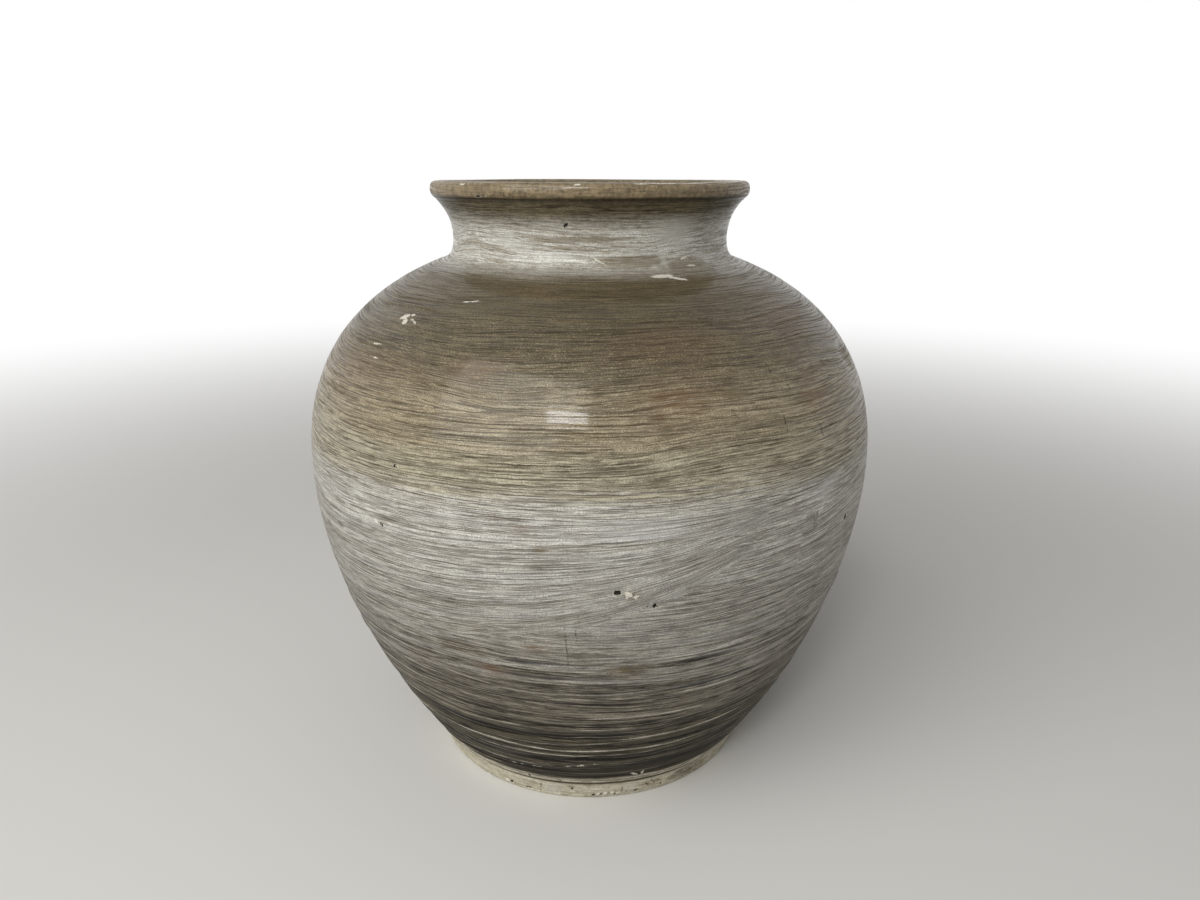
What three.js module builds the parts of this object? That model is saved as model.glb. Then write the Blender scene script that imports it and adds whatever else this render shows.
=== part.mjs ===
// A broad-shouldered stoneware jar, 280 mm tall, built up as a potter does: a turned foot ring
// and a floor slab, two thrown walls that meet at the belly, a collar neck and a rolled lip.
// Sizes are in millimetres. +Z is up, the axis of the jar is Z, and the foot stands on z = 0.

import { Group, LatheGeometry, MathUtils, Mesh, MeshStandardMaterial, Path, Vector2 } from 'three';

// Heights, each one measured up from the top of the one before.
const footRingHeight = 9;
const lowerWallRise = 146;
const upperWallRise = 90.5;
const neckHollowRise = 9.5;
const neckFlareRise = 17.8;
const lipBeadRise = 3.9;
const lipCrownRise = 3.3;

// Outside diameters.
const footDiameter = 158;
const bellyDiameter = 269.6;
const neckDiameter = 128.2;

// How far the outside spreads, on the radius: the ring over its foot, the neck over its waist,
// the lip's bead over the neck, and the rounding from the bead in to the flat of the lip.
const footSpread = 1.7;
const neckFootSpread = 4.7;
const neckFlare = 7.4;
const lipOverhang = 2.1;
const lipOuterRound = 3.1;

// Thickness of the clay. The foot ring carries the wall, and the edge of the floor on a ledge inside it.
const footWall = 9.5;
const floorLedge = 3.5;
const floorThickness = 9;
const bellyWall = 7.5;
const shoulderWall = 7;
const neckWall = 6.5;
const lipSeatWidth = 7.8;
const lipLandWidth = 2.2;
const lipInnerRound = 2.8;
const lipUndercut = 1.2;

// The lean of the wall from upright at the foot, and its slope from level at the foot of the neck.
const footLean = MathUtils.degToRad(35.3);
const shoulderSlope = MathUtils.degToRad(19);

// How far each curve of the outside keeps the direction of its end.
const footPull = 86;
const bellyPullDown = 18;
const bellyPullUp = 16;
const shoulderPull = 69;
const neckFlarePull = 10.3;

// The groove turned where the wall stands on the foot ring, and the bevels of the ring's rim.
const seamGroove = 0.7;
const footBevel = 1;

// Steps round the jar, and along each curve of a section.
const stepsRound = 60;
const wallSteps = 9;
const neckSteps = 4;
const lipSteps = 3;

// Points of the outside, as radius and height.
const footTop = new Vector2(footDiameter / 2 + footSpread, footRingHeight);
const belly = new Vector2(bellyDiameter / 2, footTop.y + lowerWallRise);
const neckFoot = new Vector2(neckDiameter / 2 + neckFootSpread, belly.y + upperWallRise);
const waist = new Vector2(neckDiameter / 2, neckFoot.y + neckHollowRise);
const neckTop = new Vector2(waist.x + neckFlare, waist.y + neckFlareRise);
const lipEdge = new Vector2(neckTop.x + lipOverhang, neckTop.y + lipBeadRise);
const lipTop = new Vector2(lipEdge.x - lipOuterRound, lipEdge.y + lipCrownRise);

// Directions of the wall at the foot and of the shoulder at the neck, both pointing up the jar.
const upFromFoot = new Vector2(Math.sin(footLean), Math.cos(footLean));
const upToNeck = new Vector2(-Math.cos(shoulderSlope), Math.sin(shoulderSlope));

// Points of the inside, each behind its neighbour on the outside by the thickness of the clay.
const floorEdge = new Vector2(footTop.x - footWall, footTop.y);
const ledgeInside = new Vector2(floorEdge.x - floorLedge, footTop.y);
const floorRim = new Vector2(floorEdge.x + floorThickness * Math.tan(footLean), floorEdge.y + floorThickness);
const bellyInside = new Vector2(belly.x - bellyWall, belly.y);
const neckFootInside = new Vector2(neckFoot.x - shoulderWall * upToNeck.y, neckFoot.y + shoulderWall * upToNeck.x);
const waistInside = new Vector2(waist.x - neckWall, waist.y);
const neckTopInside = new Vector2(neckTop.x - lipSeatWidth, neckTop.y);
const lipLandInside = new Vector2(lipTop.x - lipLandWidth, lipTop.y);

// A point that lies a distance from another, along a direction.
function along(start, direction, distance) {
  return start.clone().addScaledVector(direction, distance);
}

// The point where the tangent of the neck's foot reaches the radius of its waist.
function hollowCorner(foot, waistRadius) {
  return new Vector2(waistRadius, foot.y + (foot.x - waistRadius) * Math.tan(shoulderSlope));
}

function line(path, end) {
  path.lineTo(end.x, end.y);
}

function bend(path, corner, end) {
  path.quadraticCurveTo(corner.x, corner.y, end.x, end.y);
}

function sweep(path, startPull, endPull, end) {
  path.bezierCurveTo(startPull.x, startPull.y, endPull.x, endPull.y, end.x, end.y);
}

// A section turned round the jar's axis into one named solid.
function turned(name, section, steps, material) {
  const geometry = new LatheGeometry(section.getPoints(steps), stepsRound);
  geometry.rotateX(Math.PI / 2);
  const mesh = new Mesh(geometry, material);
  mesh.name = name;
  return mesh;
}

function footRingSection() {
  const section = new Path();
  section.moveTo(ledgeInside.x, footBevel);
  section.lineTo(ledgeInside.x + footBevel, 0);
  section.lineTo(footDiameter / 2 - footBevel, 0);
  section.lineTo(footDiameter / 2, footBevel);
  section.lineTo(footTop.x, footTop.y - seamGroove);
  section.lineTo(footTop.x - seamGroove, footTop.y);
  line(section, floorEdge);
  line(section, ledgeInside);
  section.closePath();
  return section;
}

// The floor is solid to the axis, so its section starts and ends there and stays open.
function floorSection() {
  const section = new Path();
  section.moveTo(0, floorEdge.y);
  line(section, ledgeInside);
  line(section, floorEdge);
  line(section, floorRim);
  section.lineTo(0, floorRim.y);
  return section;
}

function lowerWallSection() {
  const section = new Path();
  const grooveTop = along(footTop, upFromFoot, seamGroove);
  section.moveTo(floorEdge.x, floorEdge.y);
  section.lineTo(footTop.x - seamGroove, footTop.y);
  line(section, grooveTop);
  sweep(section, along(grooveTop, upFromFoot, footPull), new Vector2(belly.x, belly.y - bellyPullDown), belly);
  line(section, bellyInside);
  const innerPull = footPull - floorThickness / upFromFoot.y;
  sweep(
    section,
    new Vector2(bellyInside.x, bellyInside.y - bellyPullDown),
    along(floorRim, upFromFoot, innerPull),
    floorRim,
  );
  section.closePath();
  return section;
}

function upperWallSection() {
  const section = new Path();
  section.moveTo(belly.x, belly.y);
  sweep(section, new Vector2(belly.x, belly.y + bellyPullUp), along(neckFoot, upToNeck, -shoulderPull), neckFoot);
  line(section, neckFootInside);
  sweep(
    section,
    along(neckFootInside, upToNeck, shoulderWall - shoulderPull),
    new Vector2(bellyInside.x, bellyInside.y + bellyPullUp),
    bellyInside,
  );
  section.closePath();
  return section;
}

function neckSection() {
  const section = new Path();
  section.moveTo(neckFoot.x, neckFoot.y);
  bend(section, hollowCorner(neckFoot, waist.x), waist);
  bend(section, new Vector2(waist.x, waist.y + neckFlarePull), neckTop);
  line(section, neckTopInside);
  bend(section, new Vector2(waistInside.x, waistInside.y + neckFlarePull), waistInside);
  bend(section, hollowCorner(neckFootInside, waistInside.x), neckFootInside);
  section.closePath();
  return section;
}

function lipSection() {
  const section = new Path();
  section.moveTo(neckTopInside.x, neckTopInside.y);
  line(section, neckTop);
  bend(section, new Vector2(lipEdge.x, neckTop.y + lipUndercut), lipEdge);
  bend(section, new Vector2(lipEdge.x, lipTop.y), lipTop);
  line(section, lipLandInside);
  const roundCorner = new Vector2(lipLandInside.x - lipInnerRound, lipTop.y);
  const roundEnd = new Vector2(roundCorner.x, lipTop.y - lipInnerRound);
  bend(section, roundCorner, roundEnd);
  section.closePath();
  return section;
}

const bareClay = new MeshStandardMaterial({ color: '#c9b592', roughness: 0.85, metalness: 0 });
const whiteSlip = new MeshStandardMaterial({ color: '#a39d98', roughness: 0.35, metalness: 0 });
const brownSlip = new MeshStandardMaterial({ color: '#6b5f4b', roughness: 0.35, metalness: 0 });

const jar = new Group();
jar.add(turned('foot_ring', footRingSection(), 1, bareClay));
jar.add(turned('base_floor', floorSection(), 1, brownSlip));
jar.add(turned('lower_wall', lowerWallSection(), wallSteps, whiteSlip));
jar.add(turned('upper_wall', upperWallSection(), wallSteps, brownSlip));
jar.add(turned('neck', neckSection(), neckSteps, whiteSlip));
jar.add(turned('lip', lipSection(), lipSteps, brownSlip));

export default jar;
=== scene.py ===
import math
from collections import namedtuple
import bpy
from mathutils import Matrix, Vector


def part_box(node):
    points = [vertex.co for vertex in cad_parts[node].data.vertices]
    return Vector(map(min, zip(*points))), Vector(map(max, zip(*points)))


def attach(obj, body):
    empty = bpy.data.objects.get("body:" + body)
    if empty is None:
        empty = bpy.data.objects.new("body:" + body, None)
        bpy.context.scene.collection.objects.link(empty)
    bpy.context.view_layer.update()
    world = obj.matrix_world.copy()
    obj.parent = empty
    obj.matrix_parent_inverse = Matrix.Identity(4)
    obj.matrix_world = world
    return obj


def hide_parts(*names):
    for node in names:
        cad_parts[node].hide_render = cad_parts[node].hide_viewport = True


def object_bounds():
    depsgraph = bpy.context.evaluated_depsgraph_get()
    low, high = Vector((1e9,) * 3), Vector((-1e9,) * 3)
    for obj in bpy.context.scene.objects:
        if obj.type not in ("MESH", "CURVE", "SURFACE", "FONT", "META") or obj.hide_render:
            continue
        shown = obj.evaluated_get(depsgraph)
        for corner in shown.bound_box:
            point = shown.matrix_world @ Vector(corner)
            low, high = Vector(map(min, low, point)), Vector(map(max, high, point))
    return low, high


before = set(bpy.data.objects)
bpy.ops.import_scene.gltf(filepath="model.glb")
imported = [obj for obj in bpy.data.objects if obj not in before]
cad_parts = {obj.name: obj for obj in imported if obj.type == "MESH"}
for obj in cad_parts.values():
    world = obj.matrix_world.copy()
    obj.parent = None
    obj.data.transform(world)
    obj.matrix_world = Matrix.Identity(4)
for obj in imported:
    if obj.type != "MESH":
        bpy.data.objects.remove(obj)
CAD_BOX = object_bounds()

from types import SimpleNamespace

import bpy
import numpy as np
from bpy.props import FloatProperty, FloatVectorProperty, IntProperty, PointerProperty
from mathutils import Matrix, Vector

bl_info = {
    "name": "Brushed stoneware jar",
    "version": (1, 0, 0),
    "blender": (4, 5, 0),
    "location": "3D View > Sidebar > Jar",
    "description": "A broad-shouldered stoneware jar in brushed slip under a clear glaze",
    "category": "Object",
}

MM = 0.001
TURN = 2 * math.pi


# Sizes and colours

def top_of(node):
    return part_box(node)[1].z


def radius_of(node):
    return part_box(node)[1].x


def linear(code):
    """The linear colour of a six-digit hex code."""
    parts = [int(code[i:i + 2], 16) / 255 for i in (0, 2, 4)]
    return tuple(p / 12.92 if p <= 0.04045 else ((p + 0.055) / 1.055) ** 2.4 for p in parts)


def length(name, default, description):
    return FloatProperty(name=name, description=description, default=default, unit="LENGTH", precision=5)


def angle(name, degrees, description):
    return FloatProperty(name=name, description=description, default=math.radians(degrees), subtype="ANGLE")


def power(name, default, description):
    return FloatProperty(name=name, description=description, default=default, unit="POWER")


def amount(name, default, description):
    return FloatProperty(name=name, description=description, default=default)


def colour(name, code, description):
    return FloatVectorProperty(
        name=name, description=description, default=linear(code), size=3, min=0, max=1, subtype="COLOR"
    )


class JarShape(bpy.types.PropertyGroup):
    foot_radius: length("Foot radius", 79 * MM, "Outer radius of the foot ring where it stands")
    foot_top: length("Foot ring height", top_of("foot_ring"), "Height of the foot ring")
    foot_top_radius: length("Foot ring top", radius_of("foot_ring"), "Outer radius of the ring's top")
    foot_bevel: length("Foot bevel", 1 * MM, "Bevel of the foot ring's rim")
    foot_wall: length("Wall at the foot", 9.5 * MM, "Width of the wall where it stands on the ring")
    foot_lean: angle("Lean at the foot", 35.3, "Lean of the wall from upright, at the foot")
    foot_pull: length("Pull at the foot", 86 * MM, "How far the wall keeps its lean above the foot")
    floor_ledge: length("Floor ledge", 3.5 * MM, "Width of the ledge that carries the floor")
    floor_top: length("Floor height", top_of("base_floor"), "Height of the floor's upper face")
    belly_radius: length("Belly radius", radius_of("lower_wall"), "Outer radius at the widest line")
    belly_height: length("Belly height", top_of("lower_wall"), "Height of the widest line")
    belly_wall: length("Wall at the belly", 7.5 * MM, "Thickness of the wall at the belly")
    belly_down: length("Pull below the belly", 18 * MM, "How far the wall stays upright below the belly")
    belly_up: length("Pull above the belly", 16 * MM, "How far the wall stays upright above the belly")
    shoulder_slope: angle("Slope of the shoulder", 19, "Slope of the shoulder from level, at the neck")
    shoulder_pull: length("Pull of the shoulder", 69 * MM, "How far the shoulder keeps its slope")
    shoulder_wall: length("Wall at the shoulder", 7 * MM, "Thickness of the wall at the neck's foot")
    neck_foot: length("Neck foot height", top_of("upper_wall"), "Height of the neck's foot")
    neck_foot_radius: length("Neck foot radius", 68.8 * MM, "Outer radius of the neck's foot")
    waist_rise: length("Waist rise", 9.5 * MM, "Height of the neck's waist above its foot")
    waist_radius: length("Waist radius", 64.1 * MM, "Outer radius of the neck's waist")
    neck_wall: length("Wall of the neck", 6.5 * MM, "Thickness of the neck's wall")
    neck_top: length("Neck top height", top_of("neck"), "Height of the neck's top")
    neck_top_radius: length("Neck top radius", radius_of("neck"), "Outer radius of the neck's top")
    flare_pull: length("Pull of the flare", 10.3 * MM, "How far the neck stays upright over its waist")
    lip_radius: length("Lip radius", radius_of("lip"), "Outer radius of the lip")
    lip_top: length("Lip height", top_of("lip"), "Height of the jar")
    lip_bead: length("Lip bead", 3.9 * MM, "Height of the lip's widest line over the neck")
    lip_undercut: length("Lip undercut", 1.2 * MM, "How sharply the bead swells from the neck")
    lip_round: length("Lip rounding", 3.1 * MM, "Rounding of the lip from its edge to its flat")
    lip_land: length("Lip flat", 2.2 * MM, "Width of the flat on top of the lip")
    lip_inner_round: length("Inner rounding", 2.8 * MM, "Rounding of the lip's inner edge")
    lip_seat: length("Lip seat", 7.8 * MM, "Width of the seat of the lip on the neck")


class JarSurface(bpy.types.PropertyGroup):
    columns: IntProperty(name="Columns", description="Steps round the jar", default=300, min=48, max=900)
    seed: IntProperty(name="Seed", description="Start of the pattern of brush lines and wear", default=7)
    line_pitch: length("Line pitch", 1.25 * MM, "Distance between brush lines")
    brush_depth: length("Brush depth", 0.042 * MM, "Depth of the grooves that the brush leaves")
    ridge_depth: length("Ridge depth", 0.2 * MM, "Height of the ridges of slip over the foot")
    throwing_depth: length("Throwing depth", 0.12 * MM, "Depth of the soft rings left by throwing")
    inside_depth: length("Inside depth", 0.5 * MM, "Depth of the throwing rings inside")
    wobble: length("Wobble", 0.45 * MM, "How far the jar is out of round")
    gloss: amount("Gloss", 0.35, "Strength of the clear glaze's shine")


class JarColours(bpy.types.PropertyGroup):
    clay_light: colour("Bare clay, light", "cbc6b3", "High spots of the bare foot")
    clay_dark: colour("Bare clay, dark", "81775f", "Hollows of the bare foot")
    # The foot groove's tones are painted shade: the dark shadow line in the turned groove over the foot.
    groove_light: colour("Foot groove, light", "5e5644", "Ridges in the groove over the foot")
    groove_dark: colour("Foot groove, dark", "2c251a", "Depth of the groove over the foot")
    edge_light: colour("Foot edge, light", "cdc8b6", "Slip on the ridge over the groove")
    edge_dark: colour("Foot edge, dark", "6b6452", "Clay showing on that ridge")
    # The dark band, the dark wash and the grey slip are partly painted shade: darker slip and wash lie
    # there, and their tones are darkened towards the foot, where the wall faces down away from the light.
    band_light: colour("Dark band, light", "382e1b", "Ridges in the dark band over the foot")
    band_dark: colour("Dark band, dark", "120c06", "The dark band over the foot")
    wash_light: colour("Dark wash, light", "585140", "Thin ridges of slip over the foot")
    wash_dark: colour("Dark wash, dark", "130e07", "Iron-brown hollows over the foot")
    grey_light: colour("Grey slip, light", "827b6d", "Thin white slip on the lower wall")
    grey_dark: colour("Grey slip, dark", "262015", "Clay showing through it")
    pale_light: colour("Pale grey slip, light", "a39e92", "White slip where it starts to thin")
    pale_dark: colour("Pale grey slip, dark", "4c463b", "Clay showing faintly through it")
    white_light: colour("White slip, light", "c5c2b9", "Thick white slip below the belly")
    white_dark: colour("White slip, dark", "7a7468", "Brush lines through it")
    khaki_light: colour("Khaki edge, light", "aca58e", "Where brown slip thins over white")
    khaki_dark: colour("Khaki edge, dark", "605743", "Brush lines through it")
    brown_light: colour("Brown slip, light", "968a71", "Brown slip of the shoulder")
    brown_dark: colour("Brown slip, dark", "5c5039", "Brush lines through it")
    # The olive band is partly painted shade: its slip is darkened on the top of the shoulder, as if little
    # light fell there.
    olive_light: colour("Olive slip, light", "62573f", "Darker olive band round the neck")
    olive_dark: colour("Olive slip, dark", "3c321e", "Brush lines through it")
    # The crests' colour is partly painted highlight: the light caught by the raised ridges over the foot.
    crest: colour("Crests", "b4aea0", "Thin crests of white slip over the foot")
    neck_light: colour("Neck slip, light", "c2c0b8", "White strokes round the neck")
    neck_dark: colour("Neck slip, dark", "877f6d", "Brush lines through them")
    # The tone under the lip is olive slip darkened with painted shade, the shade under the lip's overhang;
    # its dark end paints the shadow line there.
    olive_in_lip_shade_light: colour("Collar, light", "6d644e", "Olive slip under the lip")
    olive_in_lip_shade_dark: colour("Collar, dark", "2a2111", "Shadow-brown line under the lip")
    lip_light: colour("Lip, light", "857559", "Glaze worn thin on the lip")
    lip_dark: colour("Lip, dark", "453b2a", "Mottles of the lip")
    inside_light: colour("Inside, light", "7b705a", "Glaze inside the jar")
    inside_dark: colour("Inside, dark", "4a402e", "Hollows inside the jar")
    line: colour("Brush hair lines", "746957", "How far thin brush lines darken the slip")
    # Chips and scratches, and the painted glints along the lip's top.
    chip: colour("Chip", "d8d3c4", "Fresh chips and scratches")
    pit: colour("Pit", "0f0c08", "Bottoms of pits and cracks")
    stain: colour("Stain", "6b5e46", "Yellow-brown stains")
    smear: colour("Smear", "4f4536", "Dark smears along the strokes")
    blush: colour("Blush", "6f543c", "Reddish bloom of iron")
    cool: colour("Cool tint", "c3c4c6", "Bluish tint of thick white slip")


class JarStage(bpy.types.PropertyGroup):
    camera_distance: length("Camera distance", 437.65 * MM, "From the jar's axis to the camera, level")
    camera_height: length("Camera height", 284.67 * MM, "Height of the camera")
    camera_pitch: angle("Camera tilt", 17.275, "Tilt of the camera below level")
    camera_yaw: angle("Camera turn", 0.631, "Turn of the camera to the right")
    camera_roll: angle("Camera roll", 0.095, "Roll of the camera")
    lens: amount("Lens", 27, "Focal length in millimetres")
    floor: colour("Floor", "d9d7d2", "Colour of the floor")
    key_power: power("Key light", 22, "Power of the wide light from the left")
    front_power: power("Front light", 3.4, "Power of the small light from the front")
    ambient: amount("Ambient", 0.24, "Strength of the light from all sides")


Jar = namedtuple("Jar", "shape surface colours")


# The outline of the jar

def even_curve(points, rows, samples=400):
    """Points at even distances on the Bezier curve of these control points, without its last one."""
    fine = np.linspace(0, 1, samples)[:, None]
    stages = [np.broadcast_to(np.array(p, float), (len(fine), 2)) for p in points]
    while len(stages) > 1:
        stages = [a + (b - a) * fine for a, b in zip(stages, stages[1:])]
    steps = np.linalg.norm(np.diff(stages[0], axis=0), axis=1)
    reached = np.concatenate([[0], np.cumsum(steps)])
    places = np.linspace(0, reached[-1], rows, endpoint=False)
    return np.column_stack([np.interp(places, reached, stages[0][:, i]) for i in (0, 1)])


def key_points(shape):
    """The corners of the jar's section, as radius and height, by name."""
    slope = shape.shoulder_slope
    floor_edge = shape.foot_top_radius - shape.foot_wall
    floor_thickness = shape.floor_top - shape.foot_top
    waist_height = shape.neck_foot + shape.waist_rise
    lip_top_radius = shape.lip_radius - shape.lip_round
    land_inside = lip_top_radius - shape.lip_land
    roll_radius = land_inside - shape.lip_inner_round
    points = {
        "under_centre": (0, shape.foot_top),
        "ledge_inside": (floor_edge - shape.floor_ledge, shape.foot_top),
        "floor_edge": (floor_edge, shape.foot_top),
        "foot_top": (shape.foot_top_radius, shape.foot_top),
        "belly": (shape.belly_radius, shape.belly_height),
        "neck_foot": (shape.neck_foot_radius, shape.neck_foot),
        "waist": (shape.waist_radius, waist_height),
        "neck_top": (shape.neck_top_radius, shape.neck_top),
        "lip_edge": (shape.lip_radius, shape.neck_top + shape.lip_bead),
        "lip_top": (lip_top_radius, shape.lip_top),
        "land_inside": (land_inside, shape.lip_top),
        "roll_corner": (roll_radius, shape.lip_top),
        "roll_end": (roll_radius, shape.lip_top - shape.lip_inner_round),
        "neck_top_inside": (shape.neck_top_radius - shape.lip_seat, shape.neck_top),
        "waist_inside": (shape.waist_radius - shape.neck_wall, waist_height),
        "neck_foot_inside": (
            shape.neck_foot_radius - shape.shoulder_wall * math.sin(slope),
            shape.neck_foot - shape.shoulder_wall * math.cos(slope),
        ),
        "belly_inside": (shape.belly_radius - shape.belly_wall, shape.belly_height),
        "floor_rim": (floor_edge + floor_thickness * math.tan(shape.foot_lean), shape.floor_top),
        "floor_centre": (0, shape.floor_top),
    }
    return {name: np.array(point, float) for name, point in points.items()}


def hollow(foot, waist, slope):
    """The curve from the neck's foot to its waist."""
    return foot, (waist[0], foot[1] + (foot[0] - waist[0]) * math.tan(slope)), waist


def outline_runs(shape, p):
    """The skin's runs with their rows: from the axis under the floor, up the outside and down the inside."""
    lean = np.array([math.sin(shape.foot_lean), math.cos(shape.foot_lean)])
    to_neck = np.array([-math.cos(shape.shoulder_slope), math.sin(shape.shoulder_slope)])
    down, up = np.array([0, -shape.belly_down]), np.array([0, shape.belly_up])
    flare = np.array([0, shape.flare_pull])
    bore, bevel = p["ledge_inside"][0], shape.foot_bevel
    bore_end, sole_start = (bore, bevel), (bore + bevel, 0)
    sole_end, side_start = (shape.foot_radius - bevel, 0), (shape.foot_radius, bevel)
    foot, belly, neck_foot = p["foot_top"], p["belly"], p["neck_foot"]
    rim, belly_in, neck_in = p["floor_rim"], p["belly_inside"], p["neck_foot_inside"]
    inner_foot_pull = shape.foot_pull - (shape.floor_top - shape.foot_top) / lean[1]
    inner_shoulder_pull = shape.shoulder_pull - shape.shoulder_wall
    slope = shape.shoulder_slope
    bead_corner = (shape.lip_radius, shape.neck_top + shape.lip_undercut)
    crown_corner = (shape.lip_radius, shape.lip_top)
    return (
        ("under_floor", 44, (p["under_centre"], p["ledge_inside"])),
        ("ring_bore", 16, (p["ledge_inside"], bore_end)),
        ("ring_inner_bevel", 4, (bore_end, sole_start)),
        ("ring_sole", 16, (sole_start, sole_end)),
        ("ring_outer_bevel", 4, (sole_end, side_start)),
        ("ring_side", 24, (side_start, foot)),
        ("lower_outside", 290, (foot, foot + lean * shape.foot_pull, belly + down, belly)),
        ("upper_outside", 275, (belly, belly + up, neck_foot - to_neck * shape.shoulder_pull, neck_foot)),
        ("neck_hollow", 26, hollow(neck_foot, p["waist"], slope)),
        ("neck_flare", 44, (p["waist"], p["waist"] + flare, p["neck_top"])),
        ("lip_bead", 14, (p["neck_top"], bead_corner, p["lip_edge"])),
        ("lip_crown", 14, (p["lip_edge"], crown_corner, p["lip_top"])),
        ("lip_land", 6, (p["lip_top"], p["land_inside"])),
        ("lip_roll", 10, (p["land_inside"], p["roll_corner"], p["roll_end"])),
        ("lip_inside", 10, (p["roll_end"], p["neck_top_inside"])),
        ("flare_inside", 20, (p["neck_top_inside"], p["waist_inside"] + flare, p["waist_inside"])),
        ("hollow_inside", 16, hollow(neck_in, p["waist_inside"], slope)[::-1]),
        ("shoulder_inside", 36, (neck_in, neck_in - to_neck * inner_shoulder_pull, belly_in + up, belly_in)),
        ("wall_inside", 34, (belly_in, belly_in + down, rim + lean * inner_foot_pull, rim)),
        ("floor_inside", 44, (rim, p["floor_centre"])),
    )


class Outline:
    """Rows of the jar's skin in order, with the row at which each run starts."""

    def __init__(self, shape):
        self.points = key_points(shape)
        self.starts = {}
        parts = []
        for name, rows, controls in outline_runs(shape, self.points):
            self.starts[name] = sum(map(len, parts))
            parts.append(even_curve(controls, rows))
        parts.append(self.points["floor_centre"][None])
        places = np.concatenate(parts)
        self.last = len(places) - 1
        self.starts["end"] = self.last
        self.radius, self.height = places.T
        steps = np.hypot(np.diff(self.radius), np.diff(self.height))
        along = np.concatenate([[0], np.cumsum(steps)])
        self.along = along - along[self.starts["ring_outer_bevel"]]
        out_radius = np.gradient(self.height, self.along)
        out_height = -np.gradient(self.radius, self.along)
        size = np.hypot(out_radius, out_height)
        self.out_radius, self.out_height = out_radius / size, out_height / size

    def along_at(self, millimetres):
        """The distance up the outside of the jar, from its sole, to this height."""
        outside = slice(self.starts["ring_outer_bevel"], self.starts["lip_land"] + 1)
        return float(np.interp(millimetres * MM, self.height[outside], self.along[outside]))

    def along_start(self, run):
        return float(self.along[self.starts[run]])

    def radius_at(self, along):
        return float(np.interp(along, self.along, self.radius))


# Noise

class Noise:
    """Smooth seeded noise over space, from about -1 to 1."""

    def __init__(self, seed):
        draw = np.random.default_rng(seed)
        self.order = draw.permutation(256)
        slopes = draw.normal(size=(256, 3))
        self.slopes = slopes / np.linalg.norm(slopes, axis=1)[:, None]

    def at_corner(self, cell, inside, corner):
        x, y, z = (cell + corner).T & 255
        slot = self.order[(self.order[(self.order[x] + y) & 255] + z) & 255]
        return np.einsum("ij,ij->i", self.slopes[slot], inside - corner)

    def __call__(self, places):
        flat = places.reshape(-1, 3)
        cell = np.floor(flat).astype(int)
        inside = flat - cell
        ease = inside ** 3 * (inside * (inside * 6 - 15) + 10)
        total = np.zeros(len(flat))
        for corner in np.ndindex(2, 2, 2):
            share = np.prod(np.where(corner, ease, 1 - ease), axis=1)
            total += share * self.at_corner(cell, inside, np.array(corner))
        return (total * 1.6).reshape(places.shape[:-1])


# Marks of use, with some painted highlights among them

Mark = namedtuple("Mark", "kind bearing height wide tall tilt depth")

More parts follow.
